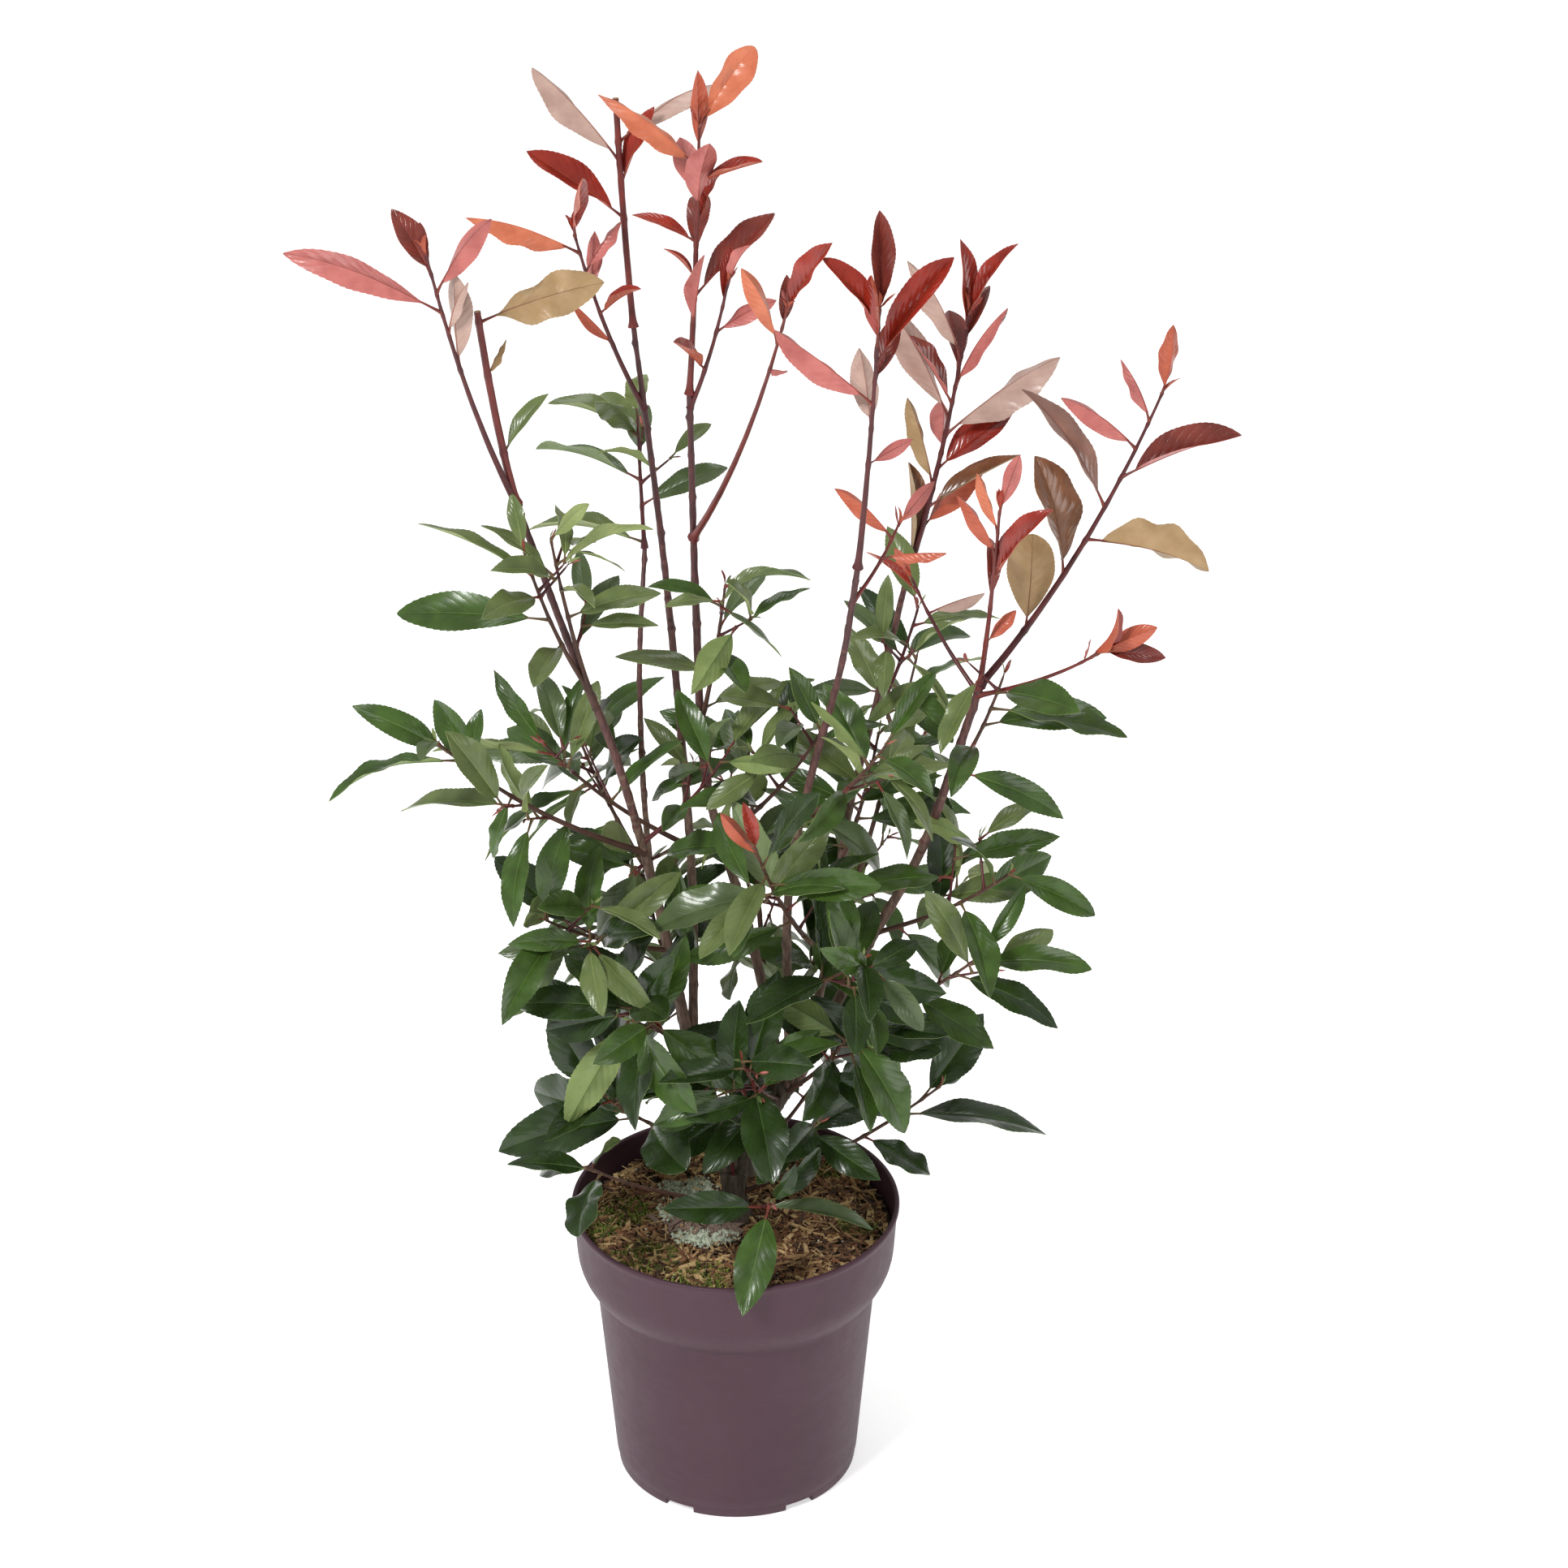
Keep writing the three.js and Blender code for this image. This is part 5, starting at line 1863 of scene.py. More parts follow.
def bark_skin(name, first, second, grain, depth, gloss):
    number, tree, shader = new_finish(name)
    lines = speckle(tree, grain, BARK_DETAIL, BARK_STRETCH)
    two_tones(tree, shader, lines, (first, second), BARK_ENDS)
    low, high = BARK_GLOSS_SPREAD
    rough = spread(tree, speckle(tree, BARK_GLOSS_GRAIN), gloss - low, gloss + high)
    tree.links.new(rough, shader.inputs["Roughness"])
    raise_skin(tree, shader, lines, depth)
    return number


bark_old = bark_skin("bark_old", "5e5245", "3d352c", 3.0, 0.7, 0.82)
bark_taupe = bark_skin("bark_taupe", "7a6052", "574237", 2.2, 0.3, 0.7)
bark_purple = bark_skin("bark_purple", "66403a", "4b2c2a", 2.2, 0.2, 0.55)
bark_maroon = bark_skin("bark_maroon", "552a2a", "3d1d1f", 2.0, 0.15, 0.48)
BARK_STEPS = ((520, bark_taupe), (640, bark_purple), (2000, bark_maroon))
BARK_MIXING = 70


def bark_tint(height, chance):
    level = height + chance.swing(BARK_MIXING)
    return next(tint for limit, tint in BARK_STEPS if level < limit)


print("bark of", len(BARK_STEPS), "ages on the stems")

# %% [markdown]
# ## Trunk, boles and stems
#
# Old wood is oval and knobbly, and a bole ends in a knob where the stems were once cut. Younger
# stems are round, with raised rings and small scars where leaves once stood. The relief is in the
# mesh itself: each point is moved by a noise that is drawn out upwards. A displacement modifier
# would need a finer mesh.

# %% Shared shape of limbs
ROOT_SWELL = 0.35
ROOT_LENGTH = 5
RELIEF_WIDE = 0.5
RELIEF_TALL = 0.1
FINER = 2.7
FINER_SHARE = 0.5


def swollen(radius, root, distance):
    return float(radius + root * ROOT_SWELL * math.exp(-distance / ROOT_LENGTH))


def add_relief(row, ring, angles, relief):
    """Push the points of a ring in and out, by a coarse noise and a finer one."""
    place, tangent, normal, binormal = row
    for j, angle in enumerate(angles):
        out = normal * math.cos(angle) + binormal * math.sin(angle)
        spot = place + out * float(ring[j])
        spot = Vector((spot.x * RELIEF_WIDE, spot.y * RELIEF_WIDE, spot.z * RELIEF_TALL))
        ring[j] += relief * (noise.noise(spot) + FINER_SHARE * noise.noise(spot * FINER))
    return ring


def limb_rows(path, sides, spacing):
    steps = round(path.length / spacing)
    distances = [path.length * k / steps for k in range(steps + 1)]
    return frames_along(path, steps), distances, np.arange(sides) * math.tau / sides


print("a root of 8 mm swells to", swollen(8, 8, 0))

# %% Old wood
OLD_WOOD_SHARE = 0.76
OVAL = 0.1
OVAL_TURN = 0.03
KNOB_RISE = 1.6
KNOB_PLACE = 5
KNOB_LENGTH = 7
END_LENGTH = 3
END_SHARE = 0.35
END_SLOPE = 4
old_wood = Batch()


def old_ring(radius, distance, left, angles, seed):
    ring = radius * (1 + OVAL * np.cos(angles * 2 + seed + distance * OVAL_TURN))
    ring += KNOB_RISE * math.exp(-(((left - KNOB_PLACE) / KNOB_LENGTH) ** 2))
    return ring * (min(1, END_SHARE + left / END_SLOPE) if left < END_LENGTH else 1)


def grow_old_limb(path, root, tip, flare, look, seed):
    sides, spacing, relief = look
    rows, distances, angles = limb_rows(path, sides, spacing)
    radii = []
    for row, distance in zip(rows, distances):
        share = distance / path.length
        radius = lerp(root, tip, share) * OLD_WOOD_SHARE + flare * (1 - share) ** 3
        radius = swollen(radius, root, distance)
        ring = old_ring(radius, distance, path.length - distance, angles, seed)
        radii.append(add_relief(row, ring, angles, relief))
    add_tube(old_wood, rows, radii, [bark_old] * len(rows))


print("old wood keeps", OLD_WOOD_SHARE, "of its solid's width")

# %% Younger stems
LIMB_SEED = 4000
SCAR_FIRST = 12
SCAR_LAST = 6
SCAR_SPACING = (17, 34)
SCAR_LENGTH = 1.8
SCAR_RING = 0.28
SCAR_RISE = 0.75
SCAR_POWER = 5
stem_wood = Batch()


def deal_scars(path, chance):
    scars = []
    distance = SCAR_FIRST
    while distance < path.length - SCAR_LAST:
        scars.append((distance, chance.angle()))
        distance += chance.between(*SCAR_SPACING)
    return scars


def scarred_ring(radius, distance, angles, scars):
    ring = np.full(len(angles), radius)
    for scar, side in scars:
        near = math.exp(-(((distance - scar) / SCAR_LENGTH) ** 2))
        ring += near * (SCAR_RING + SCAR_RISE * np.clip(np.cos(angles - side), 0, 1) ** SCAR_POWER)
    return ring


def grow_younger_limb(path, root, tip, look, seed):
    sides, spacing, relief = look
    chance = Chance(seed + LIMB_SEED)
    scars = deal_scars(path, chance)
    rows, distances, angles = limb_rows(path, sides, spacing)
    radii = []
    for row, distance in zip(rows, distances):
        radius = swollen(lerp(root, tip, distance / path.length), root, distance)
        ring = scarred_ring(radius, distance, angles, scars)
        radii.append(add_relief(row, ring, angles, relief))
    tints = [bark_tint(row[0].z, chance) for row in rows]
    add_tube(stem_wood, rows, radii, tints)


print("scars stand", SCAR_SPACING, "mm apart")

# %% Grow trunk, boles and stems
TRUNK_LOOK = (28, 1.6, 1.3)
BOLE_LOOK = (24, 2, 1.1)
STEM_LOOK = (16, 2.6, 0.28)
TRUNK_SINK = 3
BARK_CREASE = 80

foot_x, foot_y, foot_z = TRUNK_POINTS[0]
sunk_trunk = smooth_path([[foot_x, foot_y, foot_z - TRUNK_SINK]] + TRUNK_POINTS[1:])
grow_old_limb(sunk_trunk, TRUNK_ROOT, TRUNK_TIP, TRUNK_FLARE, TRUNK_LOOK, 1)
old_names = ["trunk"]
stem_names = []
for seed, (name, points, root, tip) in enumerate(LIMBS, 2):
    if "bole" in name:
        grow_old_limb(limb_paths[name], root, tip, 0, BOLE_LOOK, seed)
        old_names.append(name)
    else:
        grow_younger_limb(limb_paths[name], root, tip, STEM_LOOK, seed)
        stem_names.append(name)
build_piece("old_wood", old_wood, "bark", old_names, crease=BARK_CREASE)
build_piece("stems", stem_wood, "young_bark", stem_names, crease=BARK_CREASE)

# %% [markdown]
# ## The pot
#
# A nursery pot is moulded in thin, matte plastic. It tapers to its foot, steps out in a shoulder
# and a wide collar, and ends in a rolled rim. Its outline is turned round the axis like a vase on a
# lathe, with small rounds where the real edges are round. A screw modifier would leave the centre
# of the base to be mended.

# %% The pot's outline
POT_FOOT = [(0, 0), (76, 0), (83, 0), (83.8, 0.5), (84.2, 1.2), (84.9, 7.6), (85, 8.4), (85.5, 9.2)]
POT_WALL = [(86.1, 16), (90, 62), (94.3, 112), (97.1, 144), (97.4, 146.6), (97.8, 147.6)]
POT_SHOULDER = [(98.8, 148.1), (101.4, 150.6), (104.2, 154.6), (106.8, 159.6), (108.6, 164.6)]
POT_COLLAR = [(109.6, 169), (110.2, 174), (111.3, 190), (112, 201.4), (112.2, 204.2)]
POT_RIM = [(112.6, 204.9), (113.3, 205.3), (113.6, 206), (113.65, 207), (113.4, 208.2)]
POT_RIM += [(112.7, 208.9), (111.7, 209.05), (110.8, 208.7), (110.3, 208), (110.1, 207)]
POT_INSIDE = [(109.7, 202), (108.7, 188), (107.4, 172), (104, 160), (98.6, 152), (95, 146)]
POT_INSIDE += [(84, 12), (82.5, 3), (0, 3)]
POT_LINE = POT_FOOT + POT_WALL + POT_SHOULDER + POT_COLLAR + POT_RIM + POT_INSIDE
print("rim", 2 * max(POT_LINE)[0], "mm across")

# %% Turn a line round the axis
POT_TURNS = 160


def keep_shape(name, builder):
    mesh = bpy.data.meshes.new(name)
    builder.to_mesh(mesh)
    builder.free()
    shape = bpy.data.objects.new(name, mesh)
    bpy.context.collection.objects.link(shape)
    return shape


def turned_ring(builder, radius, height):
    if radius == 0:
        return [builder.verts.new((0, 0, height * MM))]
    ring = []
    for k in range(POT_TURNS):
        angle = math.tau * k / POT_TURNS
        spot = (radius * math.cos(angle) * MM, radius * math.sin(angle) * MM, height * MM)
        ring.append(builder.verts.new(spot))
    return ring


def join_rings(builder, low, high):
    for k in range(POT_TURNS):
        after = (k + 1) % POT_TURNS
        corners = [low[k % len(low)], low[after % len(low)]]
        corners += [high[after % len(high)], high[k % len(high)]]
        builder.faces.new(list(dict.fromkeys(corners)))


def turn_pot():
    builder = bmesh.new()
    rings = [turned_ring(builder, radius, height) for radius, height in POT_LINE]
    for low, high in zip(rings, rings[1:]):
        join_rings(builder, low, high)
    bmesh.ops.recalc_face_normals(builder, faces=builder.faces)
    return keep_shape("nursery_pot", builder)


pot = turn_pot()
print("turned pot with", len(pot.data.polygons), "faces")

# %% [markdown]
# ## Drain notches
#
# Water leaves the pot through six notches in its foot. A Boolean cuts them, because they are the
# only thing on the pot that isn't round. The cutter is six boxes in one mesh, removed once the cut
# is applied.

# %% Cut the drain notches
NOTCH_COUNT = 6
NOTCH_FIRST = 302
NOTCH_SIZE = (26, 22, 10.5)
NOTCH_PLACE = 84.5
POT_CREASE = 38


def notch_cutter():
    builder = bmesh.new()
    for i in range(NOTCH_COUNT):
        box = bmesh.ops.create_cube(builder, size=1)["verts"]
        bmesh.ops.scale(builder, verts=box, vec=[v * MM for v in NOTCH_SIZE])
        bmesh.ops.translate(builder, verts=box, vec=(NOTCH_PLACE * MM, 0, 0))
        turn = Quaternion((0, 0, 1), math.radians(NOTCH_FIRST + i * 360 / NOTCH_COUNT))
        bmesh.ops.rotate(builder, verts=box, matrix=turn.to_matrix())
    return keep_shape("notch_cutter", builder)


def cut_notches():
    cutter = notch_cutter()
    carve = pot.modifiers.new("notches", "BOOLEAN")
    carve.operation = "DIFFERENCE"
    carve.solver = "EXACT"
    carve.object = cutter
    bpy.context.view_layer.objects.active = pot
    bpy.ops.object.modifier_apply(modifier=carve.name)
    bpy.data.objects.remove(cutter)


cut_notches()
pot.data.shade_smooth()
pot.data.set_sharp_from_angle(angle=math.radians(POT_CREASE))
print("pot with", len(pot.data.polygons), "faces")

# %% [markdown]
# ## Plum-brown plastic
#
# The plastic is matte and dark plum-brown. Moulding leaves faint clouds of tone, a skin that is
# glossier in places, and two sizes of grain. A plain colour would look like paint.

# %% Pot plastic
POT_TONES = ("4a303b", "452b36")
POT_CLOUDS = 70
POT_ENDS = (0.3, 0.7)
POT_GLOSS = (0.43, 0.6)
POT_GLOSS_GRAIN = (9, 5)
POT_SPECULAR = 0.32
COARSE_GRAIN = (24, 6, (1, 1, 3))
COARSE_SHARE = 2.5
FINE_GRAIN = 1.1
POT_GRAIN_DEPTH = 0.12

number, tree, shader = new_finish("pot_plastic_skin")
two_tones(tree, shader, speckle(tree, POT_CLOUDS), POT_TONES, POT_ENDS)
rough = spread(tree, speckle(tree, *POT_GLOSS_GRAIN), *POT_GLOSS)
tree.links.new(rough, shader.inputs["Roughness"])
coarse = speckle(tree, *COARSE_GRAIN)
grain = reckon(tree, "MULTIPLY_ADD", coarse, COARSE_SHARE, speckle(tree, FINE_GRAIN))
raise_skin(tree, shader, grain, POT_GRAIN_DEPTH)
give(shader, "Specular IOR Level", POT_SPECULAR)
pot.data.materials.append(finishes[number])
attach(pot, "root")
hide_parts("pot")
print("roughness of the plastic:", POT_GLOSS)

# %% [markdown]
# ## The potting soil
#
# The pot is filled with a coarse mix of composted bark and peat, highest round the trunk. The
# ground is one closed mesh: a top whose heights come from three sizes of noise, the wall that lines
# the pot, and a flat base. A plane with a displacement would need its edge fitted to the pot.

# %% The height of the soil
SOIL_EDGE = 188
SOIL_FLAT = 34
SOIL_SLOPE = 74
SOIL_POWER = 1.6
SOIL_SINK = 0.6
LUMPS = ((1.5, 0.07), (1.1, 0.2), (0.6, 0.6))


def soil_height(x, y):
    outer = max(0, (math.hypot(x, y) - SOIL_FLAT) / SOIL_SLOPE)
    base = lerp(SOIL_TOP, SOIL_EDGE, outer**SOIL_POWER)
    spot = Vector((x, y, 0))
    return base - SOIL_SINK + sum(rise * noise.noise(spot * scale) for rise, scale in LUMPS)


print("soil height near the wall", round(soil_height(105, 0)), "mm")

# %% The soil's body
SOIL_RINGS = 46
SOIL_TURNS = 150
SOIL_REACH = 107.6
RING_CROWDING = 0.8
SOIL_BASE = 3.4
SOIL_WALL = [(107.6, 185), (106.4, 172), (103.2, 160), (97.8, 152), (94.6, 147), (83.2, 12)]
SOIL_WALL += [(82, SOIL_BASE)]
GROUND_CREASE = 60
soil_dark = bark_skin("soil_dark", "3f2f22", "21180f", 3.2, 1.2, 0.9)


def soil_ring(radius):
    return [heading(360 * j / SOIL_TURNS) * radius for j in range(SOIL_TURNS)]


def soil_points():
    """The rings of the top from the middle out, those of the wall, and two centres."""
    points = []
    for k in range(1, SOIL_RINGS + 1):
        ring = soil_ring(SOIL_REACH * (k / SOIL_RINGS) ** RING_CROWDING)
        points += [(spot.x, spot.y, soil_height(spot.x, spot.y)) for spot in ring]
    for radius, height in SOIL_WALL:
        points += [(spot.x, spot.y, height) for spot in soil_ring(radius)]
    return points + [(0, 0, soil_height(0, 0)), (0, 0, SOIL_BASE)]


rings = SOIL_RINGS + len(SOIL_WALL)
count = rings * SOIL_TURNS
soil = Batch()
soil.add(soil_points(), np.array(ring_faces(rings, SOIL_TURNS))[:, ::-1], soil_dark)
soil.add_faces(fan_faces(0, SOIL_TURNS, count, True), soil_dark, 0)
soil.add_faces(fan_faces(count - SOIL_TURNS, SOIL_TURNS, count + 1, False), soil_dark, 0)
build_piece("soil_ground", soil, "potting_soil", ["soil"], crease=GROUND_CREASE)

# %% [markdown]
# ## Chips of bark
#
# Flat chips and straw-thin fibres lie on the ground at all angles. Each is a box of eight corners,
# tapered, slanted and a little bent, and tipped so that one end digs in. Instances of a few chips
# would be lighter, but one sees the repeats at once.

# %% One chip
CHIP_FACES = np.array([[0, 3, 2, 1], [4, 5, 6, 7], [0, 1, 5, 4], [1, 2, 6, 5], [2, 3, 7, 6], [3, 0, 4, 7]])
BOX_X = np.array([-1, 1, 1, -1, -1, 1, 1, -1]) / 2
BOX_Y = np.array([-1, -1, 1, 1, -1, -1, 1, 1]) / 2
BOX_Z = np.array([-1, -1, -1, -1, 1, 1, 1, 1]) / 2
CHIP_ROLL = 1
CHIP_BEND = (-0.12, 0.18)
CHIP_BOW = 0.3
CHIP_HEAD = (0.3, 1)
CHIP_TAIL = (0.5, 1)
CHIP_SLANT = (-0.6, 0.6)
CHIP_DIG = (0.3, 0.25)
CHIP_SETTLE = 0.7
CHIP_RISE = 0.3
RIM_ROOM = 107.8


def chip_corners(chance, size, pitch):
    """The corners of a chip about its middle, long along x and tipped by the pitch."""
    long, wide, thick = size
    roll = chance.swing(CHIP_ROLL)
    bend = chance.between(*CHIP_BEND) * long
    taper = np.where(BOX_X > 0, chance.between(*CHIP_HEAD), chance.between(*CHIP_TAIL))
    x = BOX_X * long + BOX_Y * wide * chance.between(*CHIP_SLANT)
    y = BOX_Y * wide * taper
    z = BOX_Z * thick - bend * (BOX_X * 2) ** 2 * CHIP_BOW + y * math.sin(roll)
    return x * math.cos(pitch), y, z + x * math.sin(pitch)


def add_chip(batch, chance, place, size, tint, tip_up, lift):
    yaw = chance.angle()
    pitch = chance.swing(2 * tip_up)
    px, py, pz = chip_corners(chance, size, pitch)
    long, wide, thick = size
    dig = CHIP_DIG[0] * thick + CHIP_DIG[1] * long * abs(math.sin(pitch))
    height = soil_height(*place) + dig * CHIP_SETTLE + CHIP_RISE + lift
    x = place[0] + px * math.cos(yaw) - py * math.sin(yaw)
    y = place[1] + px * math.sin(yaw) + py * math.cos(yaw)
    if np.hypot(x, y).max() < RIM_ROOM:
        batch.add(np.stack([x, y, height + pz], axis=1), CHIP_FACES, tint)


print(len(CHIP_FACES), "faces in a chip")

# %% [markdown]
# ## Where bits lie
#
# Most bits are strewn over the whole ground, clear of the trunk. Moss, feed and dry leaves lie in
# patches, denser in the middle and without an edge. Each chip is dealt its place, its size, its
# tint and its lift in this order.

# %% Places and sizes by chance
SOIL_SEED = 77
TRUNK_ROOM = 15
PATCH_EDGE = (0.6, 1.1)
TRUNK_SPOT = TRUNK_POINTS[0][:2]


def scatter_spot(chance, reach):
    while True:
        x = chance.between(-reach, reach)
        y = chance.between(-reach, reach)
        if math.hypot(x, y) < reach and math.dist((x, y), TRUNK_SPOT) > TRUNK_ROOM:
            return x, y


def patch_spot(chance, x, y, wide, deep):
    angle = chance.angle()
    reach = math.sqrt(chance.next()) * chance.between(*PATCH_EDGE)
    return x + math.cos(angle) * reach * wide, y + math.sin(angle) * reach * deep


def drop_chip(batch, chance, place, sizes, deal_tint, tip_up, lift):
    size = [chance.between(*ends) for ends in sizes]
    tint = deal_tint()
    add_chip(batch, chance, place, size, tint, tip_up, chance.between(*lift))


chance = Chance(SOIL_SEED)
print("the trunk stands at", TRUNK_SPOT)

# %% [markdown]
# ## Chips, fibres and dry leaves
#
# Bark chips run from nearly black to straw. The small ones are mostly dark, the fibres lighter, and
# a few large pale ones lie on top. Bits of dry leaf gather in front of the trunk. The finish is the
# bark's with a finer grain. How a bit lies is its largest tip in radians and its range of lift.

# %% Loose bits
BIT_GRAIN = 1.6
BIT_DEPTH = 0.3
BIT_GLOSS = 0.8


def bit_skin(name, first, second, gloss=BIT_GLOSS):
    return bark_skin(name, first, second, BIT_GRAIN, BIT_DEPTH, gloss)


chip_tints = [
    bit_skin("chip_dark", "533a2a", "3a281d"),
    bit_skin("chip_brown", "7f5b3f", "62432e"),
    bit_skin("chip_rust", "8a5e3e", "6d4730"),
    bit_skin("chip_tan", "b28d63", "94724c"),
    bit_skin("chip_straw", "d3b384", "b99868"),
]
pale_tints = chip_tints[-2:]
dry_leaf = bit_skin("dry_leaf", "8a7468", "66544a")
print(len(chip_tints), "tones of chips")

# %% Scatter chips and fibres
CHIP_COUNT = 2300
CHIP_SIZES = ((4, 13), (1.6, 4.6), (0.5, 1.6))
CHIP_LIE = (0.5, (0, 1.2))
DARK_POWER = 1.25
FIBRE_COUNT = 1500
FIBRE_SIZES = ((6, 17), (0.5, 1.1), (0.3, 0.7))
FIBRE_LIE = (0.45, (0.6, 2.2))
CHIP_REACH = 105
chips = Batch()


def chip_tint():
    return chip_tints[int(chance.next() ** DARK_POWER * len(chip_tints))]


def fibre_tint():
    return chance.pick(chip_tints[1:])


for i in range(CHIP_COUNT):
    place = scatter_spot(chance, CHIP_REACH)
    drop_chip(chips, chance, place, CHIP_SIZES, chip_tint, *CHIP_LIE)
for i in range(FIBRE_COUNT):
    place = scatter_spot(chance, CHIP_REACH)
    drop_chip(chips, chance, place, FIBRE_SIZES, fibre_tint, *FIBRE_LIE)
print(len(chips.faces), "chips and fibres")

# %% Large chips and dry leaves
LARGE_COUNT = 70
LARGE_SIZES = ((8, 17), (2.4, 5), (0.9, 1.8))
LARGE_LIE = (0.3, (1.4, 2.6))
LARGE_REACH = 100
DRY_COUNT = 26
DRY_SIZES = ((9, 24), (4, 8), (0.4, 0.8))
DRY_LIE = (0.6, (1.2, 3.7))
DRY_PATCH = (-24, -10, 34, 18)

for i in range(LARGE_COUNT):
    place = scatter_spot(chance, LARGE_REACH)
    drop_chip(chips, chance, place, LARGE_SIZES, lambda: pale_tints[i % 2], *LARGE_LIE)
for i in range(DRY_COUNT):
    place = patch_spot(chance, *DRY_PATCH)
    drop_chip(chips, chance, place, DRY_SIZES, lambda: dry_leaf, *DRY_LIE)
build_piece("soil_chips", chips, "potting_soil")

# %% [markdown]
# ## Moss
#
# Moss has settled where the ground stays damp, mostly at the left and the front. Its cushions are
# short, steep fibres in two greens. Hair particles would be finer, but don't leave Blender as a
# mesh without a conversion.

# %% Moss
MOSS_PATCHES = ((-78, 10, 26, 420), (-60, -48, 26, 380), (-22, -74, 28, 420), (-92, -14, 14, 160))
MOSS_PATCHES += ((4, -92, 12, 120), (64, 66, 22, 160), (84, -8, 15, 150))
MOSS_SIZES = ((2, 5.5), (0.6, 1.3), (0.3, 0.6))
MOSS_LIE = (1.1, (1.0, 2.4))
MOSS_DEPTH = 0.8
MOSS_REACH = 104
MOSS_LIGHT_SHARE = 0.55
moss_light = bit_skin("moss_light", "8c9a40", "6c7a30", 0.9)
moss_dark = bit_skin("moss_dark", "5e6a2a", "465222", 0.9)
moss = Batch()


def moss_tint():
    return moss_light if chance.next() < MOSS_LIGHT_SHARE else moss_dark


for x, y, reach, count in MOSS_PATCHES:
    for i in range(count):
        place = patch_spot(chance, x, y, reach, reach * MOSS_DEPTH)
        if math.hypot(*place) <= MOSS_REACH:
            drop_chip(moss, chance, place, MOSS_SIZES, moss_tint, *MOSS_LIE)
build_piece("soil_moss", moss, "potting_soil")

# %% [markdown]
# ## Feed and white grains
#
# Pale grey-green feed grains lie left of the trunk, where they were poured, and a few white grains
# are strewn about. Each is an octahedron whose corners are moved by chance. At one or two
# millimetres nothing rounder would show.

# %% One grain
GRAIN = np.array([(1, 0, 0), (0, 1, 0), (-1, 0, 0), (0, -1, 0), (0, 0, 1), (0, 0, -1)], dtype=float)
GRAIN_FACES = np.array([
    [0, 1, 4], [1, 2, 4], [2, 3, 4], [3, 0, 4], [1, 0, 5], [2, 1, 5], [3, 2, 5], [0, 3, 5],
])
GRAIN_UNEVEN = (0.7, 1.2)
GRAIN_SHOWN = 0.35
GRAIN_RISE = 0.8


def add_grain(batch, chance, place, tint, sizes, lift):
    size = chance.between(*sizes)
    rise = size * GRAIN_SHOWN + GRAIN_RISE + chance.between(*lift)
    uneven = np.array([chance.between(*GRAIN_UNEVEN) for i in range(GRAIN.size)])
    spots = GRAIN * uneven.reshape(GRAIN.shape) * size
    turn = chance.angle()
    x = place[0] + spots[:, 0] * math.cos(turn) - spots[:, 1] * math.sin(turn)
    y = place[1] + spots[:, 0] * math.sin(turn) + spots[:, 1] * math.cos(turn)
    z = soil_height(*place) + rise + spots[:, 2]
    batch.add(np.column_stack([x, y, z]), GRAIN_FACES, tint)


print(len(GRAIN_FACES), "faces in a grain")

# %% Pour and strew the grains
FEED_PATCHES = ((-34, 36, 20, 16, 620), (-30, 6, 24, 19, 900), (-20, -26, 23, 12, 760))
FEED_PALE_SHARE = 0.6
FEED_SIZES = (0.9, 2.0)
FEED_LIFT = (0.8, 2.4)
FEED_TRUNK_ROOM = 14
WHITE_COUNT = 120
WHITE_REACH = 102
WHITE_SIZES = (0.6, 1.2)
WHITE_LIFT = (0, 1)
feed_pale = bit_skin("feed_pale", "ccd1bc", "b2baa5", 0.9)
feed_grey = bit_skin("feed_grey", "a4ab98", "868e7e", 0.9)
grain_white = bit_skin("grain_white", "e4dfd2", "cfc8b8", 0.85)
grains = Batch()

for x, y, wide, deep, count in FEED_PATCHES:
    for i in range(count):
        place = patch_spot(chance, x, y, wide, deep)
        if math.dist(place, TRUNK_SPOT) >= FEED_TRUNK_ROOM:
            tint = feed_pale if chance.next() < FEED_PALE_SHARE else feed_grey
            add_grain(grains, chance, place, tint, FEED_SIZES, FEED_LIFT)
for i in range(WHITE_COUNT):
    place = scatter_spot(chance, WHITE_REACH)
    add_grain(grains, chance, place, grain_white, WHITE_SIZES, WHITE_LIFT)
build_piece("soil_grains", grains, "potting_soil")

# %% [markdown]
# ## Floor and light
#
# The plant is shown on a pale floor that runs on behind it, in soft light. A wide lamp above and to
# the left gives the leaves their long, soft gloss, one from the right opens the shadows, one from
# above lifts the crown, and a bright, even sky makes the floor nearly white.

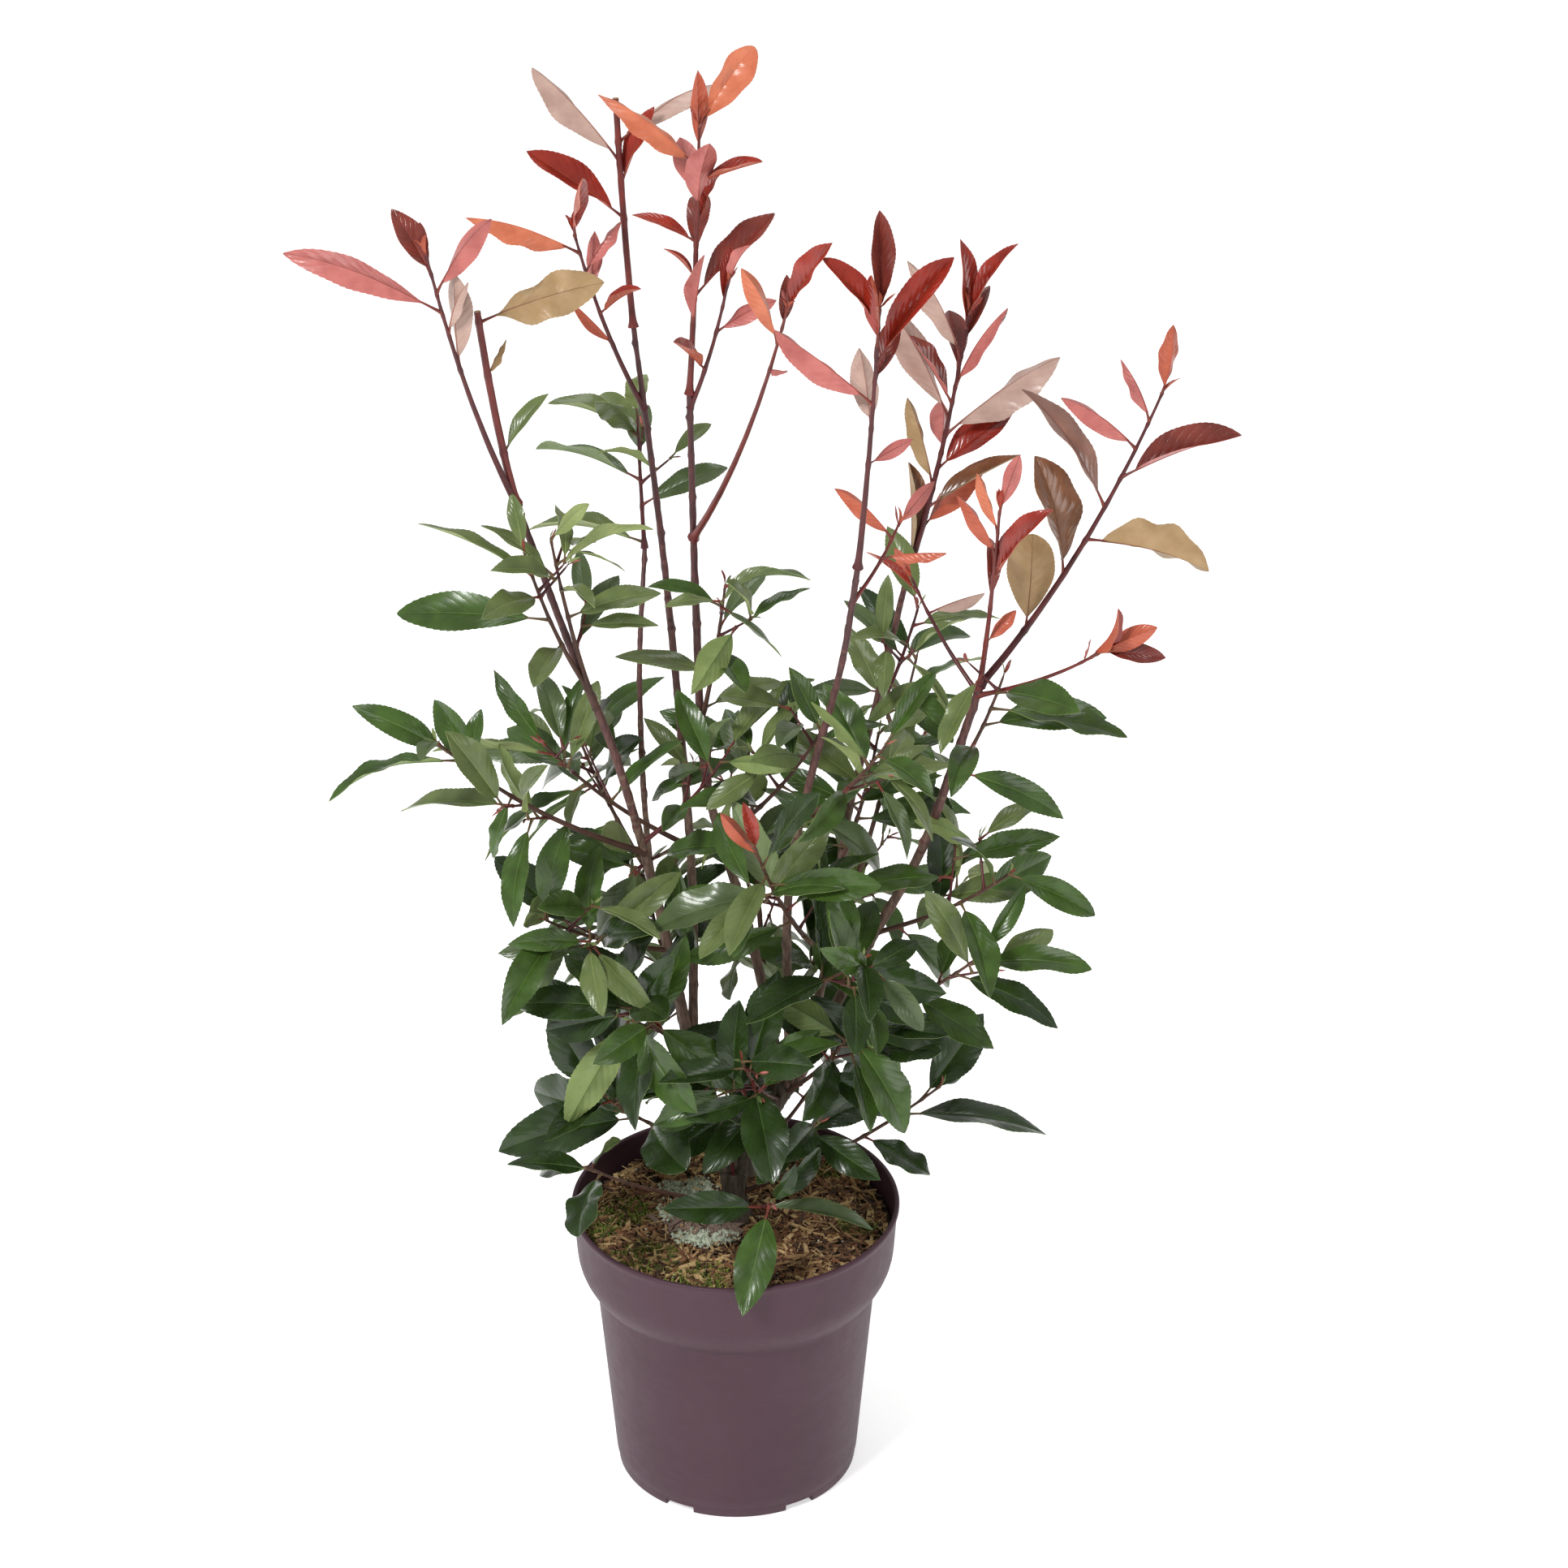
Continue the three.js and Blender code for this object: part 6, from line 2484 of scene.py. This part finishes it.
# %% Floor
FLOOR_REACH = 16
FLOOR_PARTS = 24
FLOOR_CLOUDS = 400
FLOOR_ROUGHNESS = 0.9
FLOOR_GLOW = 0.5
WHITE = (1, 1, 1, 1)


def make_floor():
    builder = bmesh.new()
    bmesh.ops.create_grid(builder, x_segments=FLOOR_PARTS, y_segments=FLOOR_PARTS, size=FLOOR_REACH)
    return keep_shape("floor", builder)


floor = make_floor()
number, tree, shader = new_finish("floor_paint")
two_tones(tree, shader, speckle(tree, FLOOR_CLOUDS), ("fbfbfb", "f8f8f8"))
give(shader, "Roughness", FLOOR_ROUGHNESS)
give(shader, "Emission Color", WHITE)
give(shader, "Emission Strength", FLOOR_GLOW)
floor.data.materials.append(finishes[number])
print("floor", 2 * FLOOR_REACH, "m wide")

# %% Lamps
LAMP_AIM = Vector((0, 0, 0.5))
LAMPS = {
    "key_lamp": ((-1.7, -2.2, 3.0), 0.9, 92),
    "fill_lamp": ((2.4, -2.0, 1.6), 1.4, 17),
    "top_lamp": ((0.3, 0.8, 3.2), 1.4, 20),
}


def add_lamp(name, place, size, power):
    data = bpy.data.lights.new(name, "AREA")
    data.shape = "DISK"
    data.size = size
    data.energy = power
    lamp = bpy.data.objects.new(name, data)
    lamp.location = place
    lamp.rotation_euler = (LAMP_AIM - Vector(place)).to_track_quat("-Z", "Y").to_euler()
    bpy.context.collection.objects.link(lamp)


for name, row in LAMPS.items():
    add_lamp(name, *row)
print(len(LAMPS), "lamps")

# %% Sky and view
SKY_STRENGTH = 0.44

world = bpy.data.worlds.new("studio")
world.use_nodes = True
sky = world.node_tree.nodes["Background"]
give(sky, "Color", WHITE)
give(sky, "Strength", SKY_STRENGTH)
bpy.context.scene.world = world
bpy.context.scene.view_settings.view_transform = "Standard"
bpy.context.scene.view_settings.look = "None"
print("sky strength", SKY_STRENGTH)

# %% [markdown]
# ## The last update
#
# The dressed plant has to stay in the CAD model's box. The last line brings the scene up to date.

# %% Finish
bpy.context.view_layer.update()
